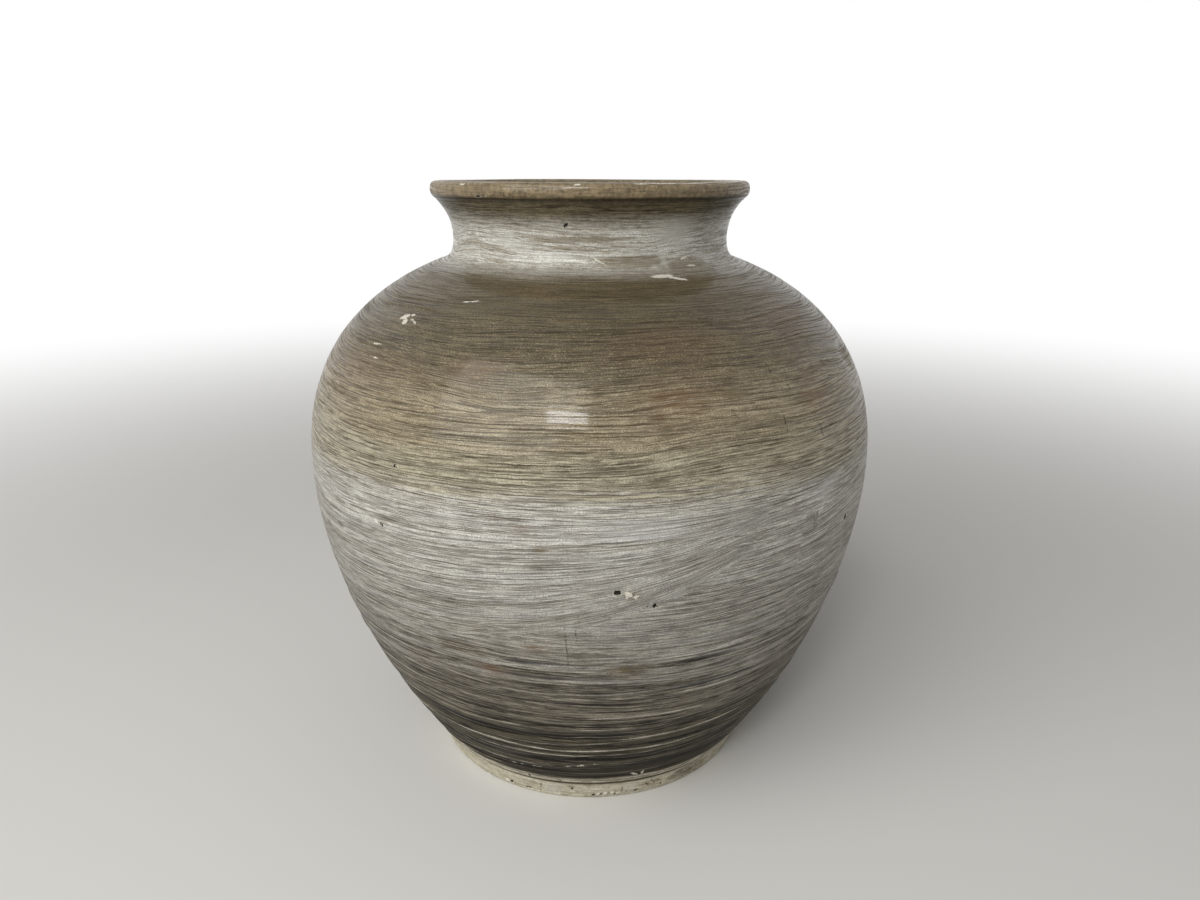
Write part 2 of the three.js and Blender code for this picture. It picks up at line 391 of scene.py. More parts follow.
# The front's marks by kind: the bearing in degrees, the height, half width and half height in millimetres,
# the tilt in degrees and the depth in millimetres, which is negative where a mark stands out
FRONT_MARKS = {
    "pit": (
        (-8.6, 263.5, 2.2, 0.9, 40, 0.4), (-21.5, 228.2, 0.9, 0.6, 0, 0.3),
        (-34.2, 176.5, 1.1, 0.8, 0, 0.35), (-37.6, 151.2, 1.4, 0.8, -50, 0.4),
        (4.3, 133.9, 2.0, 1.7, 0, 1.0), (10.6, 127.2, 1.4, 1.4, 0, 0.7), (9.3, 127.3, 0.6, 0.5, 0, 0.3),
        (3.0, 94.6, 0.8, 0.8, 0, 0.4), (55.0, 142.2, 2.0, 2.2, 0, 0.6), (14.6, 19.2, 1.1, 0.8, -20, 0.6),
        (11.7, 12.9, 0.6, 1.0, 10, 0.5), (-10.0, 13.5, 0.7, 0.7, 0, 0.4), (-20.0, 14.2, 0.9, 0.7, 0, 0.4),
        (-6.4, 6.0, 0.9, 1.1, 0, 0.8), (-28.9, 2.4, 1.7, 1.1, 40, 0.8), (0.8, 2.2, 0.9, 0.8, 0, 0.5),
        (7.9, 2.0, 0.8, 0.9, 30, 0.6), (15.7, 2.4, 1.7, 0.8, 20, 0.8), (24.8, 3.2, 1.2, 0.8, 30, 0.6),
        (-38.6, 274.4, 2.2, 0.6, 0, 0.4), (-35.8, 274.9, 1.6, 0.5, 0, 0.3),
    ),
    "chip": (
        (2.7, 249.5, 5.5, 0.35, -30, 0.1), (23.5, 243.7, 6.0, 1.7, 2, 0.15),
        (28.0, 242.7, 4.8, 1.1, -24, 0.1), (37.6, 249.6, 2.4, 0.7, 14, 0.1),
        (39.4, 246.4, 2.8, 0.6, -2, 0.1), (-47.6, 227.4, 3.2, 1.5, 30, 0.35),
        (-46.2, 226.0, 2.2, 1.6, -35, 0.35), (-45.2, 228.4, 1.4, 0.7, 0, 0.2),
        (-44.2, 226.9, 1.3, 0.4, 20, 0.2), (-42.8, 226.3, 2.2, 0.5, -25, 0.2),
        (-31, 234.8, 5.0, 0.35, 12, 0.1), (-50, 217.0, 4.5, 0.35, 5, 0.08),
        (-47.5, 212.4, 2.2, 0.45, -5, 0.08), (-39.0, 151.7, 1.6, 1.1, -20, 0.4),
        (6.1, 133.1, 1.7, 1.2, -15, -0.3), (7.3, 131.8, 1.1, 1.2, 30, -0.2),
        (5.8, 131.8, 0.8, 0.6, 0, -0.2), (13.4, 17.8, 2.4, 0.7, -28, -0.6),
        (15.8, 18.4, 0.7, 2.2, -12, -0.6), (-23.2, 23.6, 1.5, 0.6, -10, -0.4),
        (-20.2, 23.8, 2.0, 0.5, 6, -0.4), (-15.5, 24.6, 3.4, 0.35, 4, -0.3),
        (-6.4, 28.6, 1.7, 0.4, 8, -0.3), (-2.8, 30.2, 2.0, 0.45, 10, -0.3), (1.2, 31.2, 1.6, 0.3, 3, -0.2),
        (-30.6, 2.6, 1.4, 1.2, 30, -0.5), (2.2, 2.8, 1.2, 0.9, 25, -0.5), (4.8, 3.0, 1.3, 1.0, -20, -0.6),
        # From the chip at -46 degrees and 279 mm on, the chips along the lip's top are partly painted
        # highlight: glints where the top catches the light.
        (7.0, 3.2, 1.2, 1.3, 40, -0.5), (9.0, 2.6, 1.0, 0.8, 0, -0.5), (-46, 279.0, 2.0, 0.4, 0, 0.15),
        (-4, 279.2, 1.6, 0.4, 0, 0.2), (16, 279.7, 3.5, 0.6, 0, 0.3), (24, 279.9, 8.0, 0.8, 0, 0.4),
        (36, 279.9, 10.0, 0.7, 0, 0.3),
    ),
    "stain": (
        (7.0, 132.2, 4.6, 3.8, 0, -0.3), (5.0, 95.5, 6.5, 3.0, 5, 0.05), (-6.6, 7.2, 2.6, 1.4, 0, 0),
        (-8, 152, 3.4, 2.6, 0, 0),
    ),
    "crack": (
        (6.9, 132.9, 0.3, 0.9, 35, 0.2), (6.4, 131.9, 0.8, 0.3, 20, 0.2), (35.8, 211.0, 0.35, 4.2, 4, 0.15),
        (39.0, 204.0, 0.3, 1.6, 8, 0.1), (44.9, 186.0, 0.45, 4.0, 12, 0.2),
        (35.6, 192.0, 0.25, 6.0, 2, 0.08), (-4.2, 107.0, 0.22, 16.0, 2, 0.08),
        (-2.5, 115.0, 0.22, 6.5, 2, 0.06), (-9.0, 72.5, 0.3, 3.2, 14, 0.1),
        (-7.6, 67.2, 3.0, 0.3, -25, 0.1), (10.6, 4.6, 0.4, 2.6, 3, 0.25), (12.2, 2.8, 0.3, 1.2, -30, 0.2),
        (19.4, 5.4, 0.45, 2.8, 35, 0.3), (21.4, 6.6, 0.4, 3.0, 25, 0.3), (23.6, 6.0, 0.35, 2.2, 50, 0.25),
        (-17.4, 4.6, 0.45, 4.4, -8, 0.15), (-22.0, 2.4, 2.6, 0.7, 8, 0.2), (3.4, 2.4, 0.45, 1.6, 15, 0.4),
        (5.8, 2.2, 0.4, 1.5, -30, 0.4),
    ),
    "patch": (
        (26.6, 204.8, 8.5, 3.2, -3, 0), (-5, 257.6, 27, 1.7, 1, 0), (16, 248.6, 21, 3.6, 1, 0),
        (37, 246.8, 17, 4.2, 3, 0),
    ),
    "cool": (
        (-13.2, 4.8, 7.0, 6.0, 0, 0), (13.4, 5.4, 5.0, 4.0, 0, 0), (8, 158, 26, 9, 0, 0),
        (45, 161, 16, 7, 0, 0),
    ),
    "blush": (
        (21.5, 6.4, 8.0, 5.0, 20, 0), (15, 204, 24, 14, 0, 0), (-22, 213, 16, 8, 0, 0),
        (46, 200, 16, 14, 0, 0), (-11, 160, 8, 1.6, 0, 0), (-10, 107, 9, 3.2, 0, 0), (-19, 92, 11, 6, 0, 0),
    ),
    "smear": (
        (36, 6.0, 16, 7.0, 0, 0), (-24, 101, 17, 6, 2, 0), (-36, 90, 13, 5, 0, 0),
        (-14, 163, 18, 1.7, 1, 0), (8, 96, 10, 4, 0, 0),
    ),
    "dent": (
        (69, 206, 10, 8, 0, 1.8),
    ),
    "haze_and_highlight": (
        # The haze at -12 degrees and 250.5 mm is a painted highlight, where the front light's glint lies on
        # the neck; the others are whitish bloom.
        (33, 260, 17, 9, 0, 0), (27.5, 251, 2.6, 11, 8, 0), (-12, 250.5, 12, 2.6, -4, 0),
        (-34, 256, 16, 3.0, -10, 0),
    ),
}

# The least and greatest half width, the same of the half height, and the depth of the marks out of sight
OTHER_MARKS = {
    "pit": ((0.7, 2.0), (0.6, 1.4), 0.5),
    "chip": ((1.2, 4.5), (0.35, 1.2), 0.15),
    "crack": ((0.22, 0.35), (3.0, 12.0), 0.08),
    "stain": ((2.5, 7.0), (1.5, 3.0), 0.04),
    "smear": ((10, 20), (1.5, 6.0), 0.0),
    "blush": ((12, 24), (6.0, 14.0), 0.0),
}


def other_marks(seed, count=48):
    """Marks of the same kinds on the sides and the back."""
    draw = np.random.default_rng(seed)
    kinds = sorted(OTHER_MARKS)
    marks = []
    for i in range(count):
        kind = kinds[i % len(kinds)]
        wide, tall, depth = OTHER_MARKS[kind]
        bearing = draw.uniform(74, 170) * draw.choice((-1, 1))
        height = draw.uniform(16, 240)
        size = draw.uniform(*wide), draw.uniform(*tall)
        marks.append(Mark(kind, bearing, height, *size, draw.uniform(-15, 15), depth))
    return marks


def all_marks(surface):
    front = [Mark(kind, *place) for kind, places in FRONT_MARKS.items() for place in places]
    return front + other_marks(surface.seed)


# The relief of the skin

def bump(value, middle, reach):
    """A smooth hump of height 1 over the middle, that ends at the reach on both sides."""
    near = np.clip(1 - np.abs(value - middle) / reach, 0, 1)
    return near * near * (3 - 2 * near)


def from_middle(bearing, start, end):
    """The angle from the middle between two bearings in degrees, and the angle between these."""
    span = math.radians(end - start)
    middle = math.radians(start) + span / 2
    return (bearing - middle + math.pi) % TURN - math.pi, span


BrushFan = namedtuple("BrushFan", "start end top low squeeze")

# Strokes that rise from one bearing to another, in degrees, and close up under a top height, in millimetres
BRUSH_FANS = (
    BrushFan(-44, 31, 164, 108, 0.3),
    BrushFan(150, 82, 158, 96, 0.8),
    BrushFan(176, 232, 150, 92, 0.8),
    BrushFan(-92, -142, 162, 112, 0.8),
    BrushFan(120, 170, 226, 186, 0.85),
    BrushFan(-150, -110, 208, 176, 0.85),
)

Band = namedtuple("Band", "height climb half rise start end")

# The front's long grooves, with a negative rise, and ridges: the height at which each starts and how far it
# climbs round the jar, its half height and its rise, all in millimetres, and the bearings of its ends
FRONT_BANDS = (
    (16.6, 3.8, 1.2, -0.4, -24, 34), (19.6, 1.6, 0.5, 0.4, -56, -22), (22.6, 1.2, 2.2, -0.6, -78, 0),
    (26.0, 2.0, 3.4, -0.5, -2, 46), (26.4, 2.6, 0.5, 0.4, -48, -6), (29.4, 2.0, 0.5, 0.3, -26, 36),
    (31.0, 5.0, 2.5, -0.75, -68, 8), (36.0, 1.6, 2.2, -0.7, -8, 48), (38.2, 2.0, 0.6, 0.36, -50, 24),
    (45.4, -2.6, 0.7, 0.6, -64, -6), (42.6, 1.8, 0.6, 0.42, -20, 46), (47.4, -1.2, 0.9, -0.22, -48, 34),
    (50.4, 0.8, 0.6, 0.38, -32, 4), (51.0, 3.6, 0.6, 0.36, 2, 46), (52.6, 0.6, 2.4, -0.75, -66, 12),
    (54.2, 5.0, 1.2, -0.4, 0, 48), (57.6, 1.8, 0.6, 0.34, -62, -12), (58.4, 2.2, 0.6, 0.45, -16, 24),
    (62.8, -0.6, 0.9, -0.26, -36, 26), (67.6, -1.6, 0.9, -0.24, -46, -6), (67.0, 0.4, 0.5, 0.34, -4, 28),
    (74.0, -1.0, 0.6, 0.3, -58, -14), (77.4, -2.6, 1.0, -0.32, -56, 16), (79.2, 0.0, 0.7, 0.36, -14, 36),
    (82.4, -0.8, 1.1, -0.52, -6, 44), (88.4, -0.6, 0.6, 0.32, -38, 6), (92.0, -1.6, 0.9, -0.3, -36, 6),
    (96.6, -3.0, 0.6, 0.32, -34, 44), (99.0, -0.5, 0.8, -0.24, -46, -22), (98.6, 0.0, 0.7, -0.38, -18, 8),
    (97.0, -0.4, 1.0, -0.52, 14, 52), (100.4, 0.4, 0.6, 0.32, 6, 46),
)


def all_bands(surface, count=80):
    """The bands of the front, and others of the same kinds on the sides and the back."""
    draw = np.random.default_rng(surface.seed + 1)
    bands = [Band(*band) for band in FRONT_BANDS]
    for _ in range(count):
        start = draw.uniform(46, 250)
        end = min(start + draw.uniform(40, 110), 312)
        groove = draw.random() < 0.5
        half = draw.uniform(0.9, 2.4) if groove else draw.uniform(0.5, 0.7)
        rise = draw.uniform(-0.6, -0.24) if groove else draw.uniform(0.3, 0.5)
        bands.append(Band(draw.uniform(17, 104), draw.uniform(-2, 4), half, rise, start, end))
    return bands


Strip = namedtuple("Strip", "points normals values layers along")


class Skin:
    """The surface of the jar on any rows of its outline, all the way round."""

    def __init__(self, jar):
        self.outline = Outline(jar.shape)
        self.surface = jar.surface
        self.marks = all_marks(jar.surface)
        self.bands = all_bands(jar.surface)
        self.noise = Noise(jar.surface.seed)
        self.bearing = -math.pi + TURN * np.arange(jar.surface.columns) / jar.surface.columns

    def ringed(self, place, along, reach, pitch, shift=0.0):
        """Noise that changes reach times in a radian and once in a pitch up the jar."""
        return self.noise(np.stack([
            place[..., 0] * reach + shift, place[..., 1] * reach - shift, along / pitch + 3 * shift
        ], axis=-1))

    def under_strokes(self, place, bearing, along):
        """The height that each brush line of the first coat keeps, so it is the same all along the line."""
        wander = 1.6 * MM * self.ringed(place, along, 1.2, 70 * MM, 11.3)
        waver = 0.25 * MM * self.ringed(place, along, 5.0, 14 * MM, 23.9)
        neck = bump(along, self.outline.along_at(256), 17 * MM)
        fall = 2.6 * MM * neck * np.sin(bearing + math.radians(40))
        return along + wander + waver + fall

    def fan_strokes(self, fan, bearing, along, wander):
        """The same for one fan: its slanted lines, how far inside it a point lies, and if it is near."""
        away, span = from_middle(bearing, fan.start, fan.end)
        gone = away / span + 0.5
        squeeze = 1 - (1 - fan.squeeze) * np.clip(gone, 0, 1) ** 2.2
        top, low = self.outline.along_at(fan.top), self.outline.along_at(fan.low)
        slanted = np.where(along < top, top - (top - along) / squeeze, along) + 0.2 * wander
        inside = np.minimum.reduce([
            (slanted - low) / (6 * MM), (top + 6 * MM - along) / (6 * MM), gone * 4, (1 - gone) * 6,
        ])
        near = (np.abs(away) < abs(span) * 0.6) & (along < top + 10 * MM)
        return slanted, np.clip(inside, -1, 1), near

    def over_strokes(self, place, bearing, along):
        """The same for the strokes brushed over them at a slant, and how far inside these a point lies."""
        wander = 4.5 * MM * self.ringed(place, along, 1.9, 45 * MM, 83.1)
        line = along + wander
        within = self.ringed(place, along, 1.5, 24 * MM, 91.7) * 2.2 - 0.35
        for fan in BRUSH_FANS:
            slanted, inside, near = self.fan_strokes(fan, bearing, along, wander)
            line = np.where(inside > -0.9, slanted, line)
            within = np.where(near, inside, within)
        return line, within

    def furrows(self, place, line, pitch, half, reach, shift):
        """Thin lines that come and go round the jar, about one in each pitch: 1 in the middle of each."""
        level = line / pitch + 1.2 * self.ringed(place, line, 0.8, 6 * pitch, shift)
        number = np.floor(level)
        off = np.abs(level - number - 0.5) * pitch
        strength = self.ringed(place, number * 7.3, reach, 1, shift)
        return np.clip(1 - off / half, 0, 1) * np.clip(0.3 + 1.6 * strength, 0, 1)

    def broken(self, place, line):
        """How much of a ridge or groove is left, place by place along it."""
        coarse = self.ringed(place, line, 3.2, 4 * MM, 73.1)
        close = self.ringed(place, line, 9, 2.5 * MM, 79.9)
        return np.clip(0.95 + 0.7 * coarse + 0.5 * close, 0.3, 1.5)

    def brush_grooves(self, place, line):
        """Fine furrows, with deeper grooves among them."""
        pitch = self.surface.line_pitch
        fine = self.ringed(place, line, 2.4, 1.15 * pitch, 5.1)
        groove = self.furrows(place, line, 1.9 * pitch, 0.7 * MM, 2.6, 17.7)
        return self.surface.brush_depth * (0.7 * fine - 1.1 * groove)

    def foot_ridges(self, place, line):
        """Thin crests of slip over the foot, with hollows between them."""
        low = bump(line, self.outline.along_at(50), 54 * MM)
        swell = self.ringed(place, line, 1.3, 3.6 * MM, 31.1)
        crest = self.furrows(place, line, 4.2 * MM, 0.8 * MM, 1.6, 3.7)
        return self.surface.ridge_depth * low * (swell + crest)

    def banded(self, bearing, along):
        """The long grooves and ridges of the lower wall."""
        total = 0
        for band in self.bands:
            away, span = from_middle(bearing, band.start, band.end)
            climbed = band.climb * MM * np.clip(away / span + 0.5, 0, 1)
            ends = np.clip((1 - np.abs(away) * 2 / span) * 4, 0, 1)
            level = self.outline.along_at(band.height) + climbed
            total = total + band.rise * MM * ends * bump(along, level, 1.6 * band.half * MM)
        return total

    def turned_edge(self, bearing, along):
        """The groove and the small ridge over it where the wall stands on the foot ring."""
        middle = self.outline.along_at(10.6) + 0.4 * MM * np.sin(2 * bearing + 1.1)
        groove = bump(along, middle, 1.3 * MM)
        ridge = bump(along, middle + 3.2 * MM, 2.2 * MM)
        return -0.9 * MM * groove + 0.6 * MM * ridge

    def worn_rims(self, place, along):
        """Small losses along the foot's lower rim and the lip's edge."""
        foot = bump(along, self.outline.along_at(1.2), 3.0 * MM)
        lip = bump(along, self.outline.along_at(277), 3.4 * MM)
        loss = np.clip(self.ringed(place, along, 34, 3 * MM, 41.3) - 0.2, 0, 1)
        nick = np.clip(self.ringed(place, along, 26, 2.4 * MM, 47.9) - 0.34, 0, 1)
        return -1.4 * MM * foot * loss - 0.8 * MM * lip * nick

    def mark_depth(self, bearing, along):
        depth = 0
        for mark in self.marks:
            if not mark.depth:
                continue
            centre = self.outline.along_at(mark.height)
            tilt = math.radians(mark.tilt)
            across = (bearing - math.radians(mark.bearing)) * self.outline.radius_at(centre)
            up = along - centre
            u = (across * math.cos(tilt) + up * math.sin(tilt)) / (mark.wide * MM)
            v = (up * math.cos(tilt) - across * math.sin(tilt)) / (mark.tall * MM)
            depth = depth + mark.depth * MM * bump(np.hypot(u, v), 0, 1.2)
        return depth

    def keep(self, rows):
        """0 on the axis and on the sole that the jar stands on, 1 elsewhere."""
        starts, along = self.outline.starts, self.outline.along
        edges = ("ring_inner_bevel", "ring_sole", "ring_outer_bevel", "ring_side")
        off_sole = np.interp(along[rows], along[[starts[name] for name in edges]], [1, 0, 0, 1])
        return off_sole * np.clip(self.outline.radius[rows] / (12 * MM), 0, 1)

    def strokes(self, place, bearing, along, under, over, share):
        """The relief that the brush leaves, with a share of the strokes on top."""
        grooves = self.brush_grooves(place, under) * (1 - share) + self.brush_grooves(place, over) * share
        level = along + 0.5 * MM * self.ringed(place, along, 3.0, 12 * MM, 67.3)
        ridges = self.foot_ridges(place, under) + self.banded(bearing, level)
        return grooves + ridges * self.broken(place, along)

    def relief(self, rows, place, bearing, along):
        """How far the skin stands out from the outline, and the layers of strokes on it."""
        starts, row = self.outline.starts, rows[:, None]
        brushed = (row >= starts["lower_outside"]) & (row <= starts["lip_bead"])
        outside = (row >= starts["ring_outer_bevel"]) & (row <= starts["lip_land"])
        inside = (row >= starts["lip_inside"]) | (row <= starts["ring_bore"])
        under = self.under_strokes(place, bearing, along)
        over, within = self.over_strokes(place, bearing, along)
        share = np.clip(within + 0.5, 0, 1)
        strokes = np.where(brushed, self.strokes(place, bearing, along, under, over, share), 0)
        throwing = self.surface.throwing_depth * self.ringed(place, along, 0.7, 7 * MM, 61.7)
        turning = self.turned_edge(bearing, along) + self.worn_rims(place, along)
        out = strokes + np.where(outside, throwing + turning - self.mark_depth(bearing, along), 0)
        inner_rings = self.surface.inside_depth * self.ringed(place, along, 0.8, 9 * MM, 53.3)
        wobble = self.surface.wobble * self.ringed(place, along, 0.9, 90 * MM, 59.9)
        out = out + np.where(inside, inner_rings, 0) + np.where(row > starts["ring_side"], wobble, 0)
        return out * self.keep(rows)[:, None], under, np.stack([over, within, strokes / MM], axis=-1)

    def points_and_values(self, rows):
        outline = self.outline
        bearing = np.broadcast_to(self.bearing, (len(rows), len(self.bearing)))
        along = np.broadcast_to(outline.along[rows][:, None], bearing.shape)
        turn = np.clip(outline.radius[rows] / (50 * MM), 0, 1)[:, None]
        place = np.stack([np.cos(bearing) * turn, np.sin(bearing) * turn], axis=-1)
        out, under, layers = self.relief(rows, place, bearing, along)
        radius = outline.radius[rows][:, None] + out * outline.out_radius[rows][:, None]
        height = outline.height[rows][:, None] + out * outline.out_height[rows][:, None]
        points = np.stack([radius * np.sin(bearing), -radius * np.cos(bearing), height], axis=-1)
        values = np.concatenate([place, under[..., None]], axis=-1)
        return points, values, layers

    def plain_normals(self, rows):
        outline = self.outline
        return np.stack([
            np.outer(outline.out_radius[rows], np.sin(self.bearing)),
            np.outer(outline.out_radius[rows], -np.cos(self.bearing)),
            np.outer(outline.out_height[rows], np.ones(len(self.bearing))),
        ], axis=-1)

    def strip(self, first, last):
        """The skin from one row to another, with the normals read over the rows beside them too."""
        outline = self.outline
        rows = np.arange(max(first - 1, 0), min(last + 1, outline.last) + 1)
        points, values, layers = self.points_and_values(rows)
        across = np.roll(points, -1, axis=1) - np.roll(points, 1, axis=1)
        normals = np.cross(across, np.gradient(points, axis=0))
        size = np.linalg.norm(normals, axis=-1, keepdims=True)
        least = 1e-10
        normals = np.where(size > least, normals / np.maximum(size, least), self.plain_normals(rows))
        kept = slice(first - rows[0], last + 1 - rows[0])
        return Strip(points[kept], normals[kept], values[kept], layers[kept], outline.along[first:last + 1])

    def hidden_ring(self, name):
        """A ring inside a joint, at a corner of the section."""
        radius, height = self.outline.points[name]
        level = np.full(len(self.bearing), height)
        points = np.stack([radius * np.sin(self.bearing), -radius * np.cos(self.bearing), level], axis=-1)
        nothing = np.zeros_like(points)[None]
        return Strip(points[None], nothing, nothing, nothing, np.zeros(1))


# Meshes

BAKE_MAP, PLACE_MAP = "OFBake", "Unrolled"
STROKES, LAYERS = "strokes", "layers"


def bake_levels(strips):
    """The height of each ring on the bake's map, with most of it for the first strip."""
    steps = []
    for number, strip in enumerate(strips):
        share = 0.3 if number else 1.0
        within = np.diff(strip.along, prepend=strip.along[0]) * share
        within[0] = 1.5 * MM
        steps.append(within)
    levels = np.cumsum(np.concatenate(steps))
    return levels / levels[-1] * 0.98 + 0.01


def face_corners(strips, columns, closed):
    """The ring and the column of each face's corners, and for each face if it is skin."""
    owner = np.concatenate([np.full(len(strip.along), i) for i, strip in enumerate(strips)])
    lower = np.arange(len(owner) if closed else len(owner) - 1)
    upper = (lower + 1) % len(owner)
    steps = np.arange(columns)
    rings = np.stack([lower, lower, upper, upper], axis=-1).repeat(columns, axis=0)
    steps = np.tile(np.stack([steps, steps + 1, steps + 1, steps], axis=-1), (len(lower), 1))
    return rings, steps, (owner[lower] == owner[upper]).repeat(columns)


def vertex_numbers(rings, steps, columns, closed):
    """The number of each corner's vertex, and which corners stay where a ring is drawn into the axis."""
    numbers = rings * columns + steps % columns
    kept = np.ones(numbers.shape, bool)
    if not closed:
        first, last = rings == 0, rings == rings.max()
        numbers = np.where(first | last, rings * columns, numbers)
        kept[:, 1] = ~first[:, 1]
        kept[:, 3] = ~last[:, 3]
    return numbers, kept


def add_values(mesh, name, values):
    layer = mesh.attributes.new(name, "FLOAT_VECTOR", "POINT")
    layer.data.foreach_set("vector", np.ascontiguousarray(values, dtype=np.float32).ravel())


def add_map(mesh, name, across, up):
    layer = mesh.uv_layers.new(name=name)
    layer.uv.foreach_set("vector", np.stack([across, up], axis=-1).astype(np.float32).ravel())


def bare_mesh(name, points, corners, sizes, smooth):
    """A mesh of these points, whose faces take so many corners each from a list, and are smooth or not."""
    mesh = bpy.data.meshes.new(name)
    mesh.vertices.add(len(points))
    mesh.vertices.foreach_set("co", points.astype(np.float32).ravel())
    mesh.loops.add(len(corners))
    mesh.loops.foreach_set("vertex_index", corners.astype(np.int32))
    mesh.polygons.add(len(sizes))
    mesh.polygons.foreach_set("loop_start", (np.cumsum(sizes) - sizes).astype(np.int32))
    mesh.polygons.foreach_set("use_smooth", smooth)
    mesh.update(calc_edges=True)
    return mesh


def turned_mesh(name, skin, strips, closed):
    """A mesh from strips of rings: faces within a strip are skin, and those between strips are hidden."""
    columns = len(skin.bearing)
    rings, steps, is_skin = face_corners(strips, columns, closed)
    numbers, kept = vertex_numbers(rings, steps, columns, closed)
    used, corners = np.unique(numbers[kept], return_inverse=True)
    points, normals, values, layers = (
        np.concatenate([getattr(strip, part) for strip in strips]).reshape(-1, 3)
        for part in ("points", "normals", "values", "layers")
    )
    mesh = bare_mesh(name, points[used], corners, kept.sum(axis=1), is_skin)
    add_values(mesh, STROKES, values[used])
    add_values(mesh, LAYERS, layers[used])

    along = np.concatenate([strip.along for strip in strips])
    closing = (rings == 0) & (rings[:, :1] == len(along) - 1)
    levels = np.where(closing, 1, bake_levels(strips)[rings])
    add_map(mesh, PLACE_MAP, (-math.pi + TURN * steps / columns)[kept], along[rings][kept])
    add_map(mesh, BAKE_MAP, (steps / columns)[kept], levels[kept])
    on_skin = np.broadcast_to(is_skin[:, None], kept.shape)[kept]
    mesh.normals_split_custom_set(np.where(on_skin[:, None], normals[numbers[kept]], 0).tolist())
    return mesh


# Shader nodes

FLOAT, VECTOR, COLOUR = "NodeSocketFloat", "NodeSocketVector", "NodeSocketColor"


def connect(tree, node, inputs):
    """Give a node's inputs their values, or link other nodes' outputs to them."""
    for key, value in inputs.items():
        if isinstance(value, bpy.types.NodeSocket):
            tree.links.new(value, node.inputs[key])
        else:
            node.inputs[key].default_value = value


def add(tree, kind, inputs=None, **settings):
    """A new node with these settings, whose inputs are values or other nodes' outputs."""
    node = tree.nodes.new(kind)
    for name, value in settings.items():
        setattr(node, name, value)
    connect(tree, node, inputs or {})
    return node


def maths(tree, operation, *values, clamp=False):
    node = add(tree, "ShaderNodeMath", dict(enumerate(values)), operation=operation, use_clamp=clamp)
    return node.outputs[0]


def product(tree, first, *others):
    for other in others:
        first = maths(tree, "MULTIPLY", first, other)
    return first


def weighted(tree, start, *parts):
    """The start value plus each part's value less its middle, times its weight."""
    for value, middle, weight in parts:
        shifted = maths(tree, "SUBTRACT", value, middle)
        start = maths(tree, "MULTIPLY_ADD", shifted, weight, start)
    return start


def vectors(tree, operation, *values):
    return add(tree, "ShaderNodeVectorMath", dict(enumerate(values)), operation=operation).outputs[0]


def size_of(tree, vector):
    return add(tree, "ShaderNodeVectorMath", {0: vector}, operation="LENGTH").outputs["Value"]


def joined(tree, **parts):
    """A vector from its x, y and z."""
    node = tree.nodes.new("ShaderNodeCombineXYZ")
    connect(tree, node, {name.upper(): value for name, value in parts.items()})
    return node.outputs[0]


def parted(tree, vector):
    """A vector's x, y and z."""
    return add(tree, "ShaderNodeSeparateXYZ", {0: vector}).outputs


def noise_at(tree, place, detail=0.0, roughness=0.5, scale=1.0):
    inputs = {"Vector": place, "Scale": scale, "Detail": detail, "Roughness": roughness}
    return add(tree, "ShaderNodeTexNoise", inputs).outputs


def fade(tree, value, start, end, low=0.0, high=1.0):
    """A smooth step of the value, from low at its start to high at its end."""
    inputs = {"Value": value, "From Min": start, "From Max": end, "To Min": low, "To Max": high}
    return add(tree, "ShaderNodeMapRange", inputs, interpolation_type="SMOOTHSTEP").outputs["Result"]


def mixed(tree, share, low, high):
    """A share of the way from one value to another."""
    return add(tree, "ShaderNodeMix", {0: share, 2: low, 3: high}).outputs[0]


def blend(tree, share, low, high, kind="MIX"):
    """A share of the way from one colour to another."""
    node = add(tree, "ShaderNodeMix", {0: share, 6: low, 7: high}, data_type="RGBA", blend_type=kind)
    return node.outputs[2]


def rgba(tone):
    return (*tone, 1)


def cleared_tree(owner):
    """The tree of a material or a world, with no nodes in it."""
    owner.use_nodes = True
    owner.node_tree.nodes.clear()
    return owner.node_tree


def show(tree, kind, shader):
    """End a tree with this kind of output."""
    tree.links.new(shader, tree.nodes.new(kind).inputs["Surface"])


# Node groups

def shared_group(name, inputs, outputs, fill, *details):
    """The group of this name, made and filled the first time that it is asked for."""
    if name not in bpy.data.node_groups:
        tree = bpy.data.node_groups.new(name, "ShaderNodeTree")
        for label, kind, default in inputs:
            tree.interface.new_socket(label, in_out="INPUT", socket_type=kind).default_value = default
        for label, kind in outputs:
            tree.interface.new_socket(label, in_out="OUTPUT", socket_type=kind)
        given, result = tree.nodes.new("NodeGroupInput"), tree.nodes.new("NodeGroupOutput")
        connect(tree, result, fill(tree, given.outputs, *details))
    return bpy.data.node_groups[name]


def use_group(tree, group, **inputs):
    """A group's node, with its inputs given by name, where an underscore stands for a space."""
    node = add(tree, "ShaderNodeGroup", node_tree=group)
    connect(tree, node, {name.replace("_", " "): value for name, value in inputs.items()})
    return node.outputs


def fill_brush_lines(tree, given):
    per_metre = maths(tree, "DIVIDE", 1, given["Pitch"])
    scale = joined(tree, x=given["Reach"], y=given["Reach"], z=per_metre)
    place = vectors(tree, "MULTIPLY", given["Strokes"], scale)
    place = vectors(tree, "ADD", place, given["Shift"])
    noise = noise_at(tree, place, given["Detail"], 0.6)[0]
    off_middle = maths(tree, "SUBTRACT", noise, 0.5)
    return {"Value": maths(tree, "MULTIPLY_ADD", off_middle, given["Contrast"], 0.5, clamp=True)}


def brush_line_group():
    """Lines that follow the brush: noise stretched along the strokes."""
    inputs = [
        ("Strokes", VECTOR, (0, 0, 0)), ("Pitch", FLOAT, 1 * MM), ("Reach", FLOAT, 4), ("Shift", FLOAT, 0),
        ("Detail", FLOAT, 2), ("Contrast", FLOAT, 1.8),
    ]
    return shared_group("Brush lines", inputs, [("Value", FLOAT)], fill_brush_lines)


